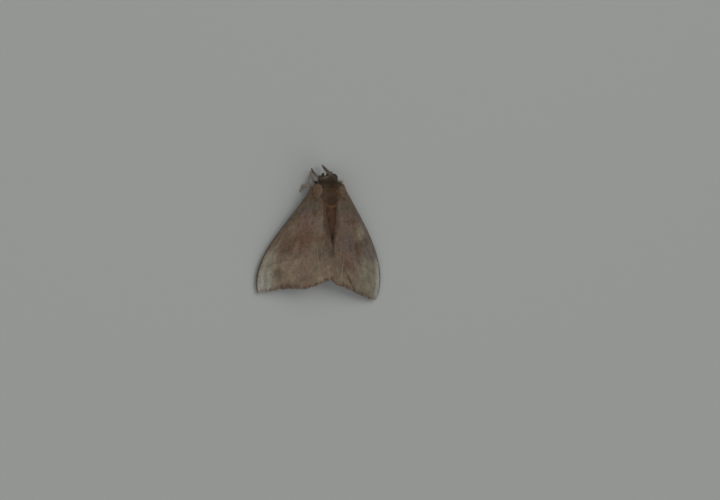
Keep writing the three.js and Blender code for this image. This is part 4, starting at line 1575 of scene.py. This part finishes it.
def antenna(side, side_name, material):
    points = as_drawn(ANTENNAE[side])
    whole = limb(points, shaft_radius, 10, SHAFT_RINGS * 3)
    curve = smooth_curve(points)
    for t in np.linspace(*BRANCHED_PART, BRANCHES):
        place, way, across = cross_at(curve, t)
        reach = BRANCH_LENGTH * math.sin(math.pi * mix(*BRANCH_ARC, t)) ** 0.6
        for hand, _ in SIDES:
            middle = place + across * hand * reach * BRANCH_BEND + way * BRANCH_BEND_SWEEP
            tip = place + across * hand * reach + way * BRANCH_SWEEP - UP * BRANCH_SAG
            pour(limb(np.vstack([place, middle, tip]), BRANCH, 4, 4), whole)
    mesh = finished(whole, f"feeler_{side_name}", (material,))
    put_in_scene(mesh, "antenna", f"antenna_{side_name}")


FEELER_TONES = ((0.1, 0.07, 0.048), (0.23, 0.173, 0.122))
antenna_material = new_material(
    "feeler_scales", mottled, *FEELER_TONES, 1600, (0.4, 0.65), roughness=0.6, sheen=0.2
)
for side, side_name in SIDES:
    antenna(side, side_name, antenna_material)

# %% [markdown]
# ## Claws and spurs
#
# Each foot ends in two small hooks, and the shins of the middle and hind legs carry pairs of spurs.
# They are smooth horn, so they stay apart from the hairy skin.

# %% Claws and spurs
CLAW_LENGTH, CLAW_SPREAD, CLAW_DROP, CLAW_TIP_HEIGHT = 0.2, 0.08, 0.2, 0.03
CLAW_ROOT, CLAW_ARCH = 0.05, 0.03
SPURS = {"fore": (), "mid": (1.0,), "hind": (0.55, 1.0)}  # places along the shin
SPUR_REACH, SPUR_SPREAD, SPUR_DROP, SPUR_SAG, SPUR_TIP_HEIGHT = 0.496, 0.22, 0.16, 0.05, 0.08
CLAW, SPUR = spindle(0.045, 0.035, 0.01), spindle(0.055, 0.048, 0.01)
HORN_TONES = ((0.05, 0.032, 0.02), (0.14, 0.095, 0.06))


def kept_above(place, height):
    return np.maximum(place, (-np.inf, -np.inf, height))


def claw(place, way, aside):
    """Three points of a hook. aside points across the foot, to the claw's own side."""
    root = place + aside * CLAW_ROOT
    middle = root + way * CLAW_LENGTH * 0.6 + aside * CLAW_SPREAD + UP * CLAW_ARCH
    return root, middle, kept_above(middle + way * CLAW_LENGTH * 0.35 - UP * CLAW_DROP, CLAW_TIP_HEIGHT)


def spur(place, way, aside):
    """Three points of a spur, which sags a little on its way."""
    end = place + way * SPUR_REACH + aside * SPUR_SPREAD - UP * SPUR_DROP
    end = kept_above(end, SPUR_TIP_HEIGHT)
    return place, mix(place, end, 0.5) - UP * SPUR_SAG, end


def add_pair(shape, radius, curve, share):
    """Adds a claw or a spur on each side of a limb, at a share of its length."""
    place, way, across = cross_at(smooth_curve(curve), share)
    for hand, _ in SIDES:
        pour(limb(np.vstack(shape(place, way, across * hand)), radius, 6, 6), horn)


horn = bmesh.new()
for leg_name, _, tibia, foot in LEG_CURVES:
    add_pair(claw, CLAW, foot, 1.0)
    for share in SPURS[leg_name]:
        add_pair(spur, SPUR, tibia, share)
horn_material = new_material(
    "horn", mottled, *HORN_TONES, 2500, (0.35, 0.7), 2, roughness=0.35, sheen=0.0
)
put_in_scene(finished(horn, "claws_and_spurs", (horn_material,)), "leg_scales")

# %% [markdown]
# ## Sizes
#
# Both boxes are printed: the finished moth's, and that of its solids.

# %% Sizes
visual_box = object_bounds()
sizes = {"cad": [list(corner) for corner in cad_box], "visual": [list(corner) for corner in visual_box]}
for label, (low, high) in (("solids", cad_box), ("moth", visual_box)):
    print(label, [round(c / MM, 2) for c in low], [round(c / MM, 2) for c in high])
faces = sum(len(piece.data.polygons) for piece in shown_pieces() if piece.type == "MESH")
print("faces in all:", faces)
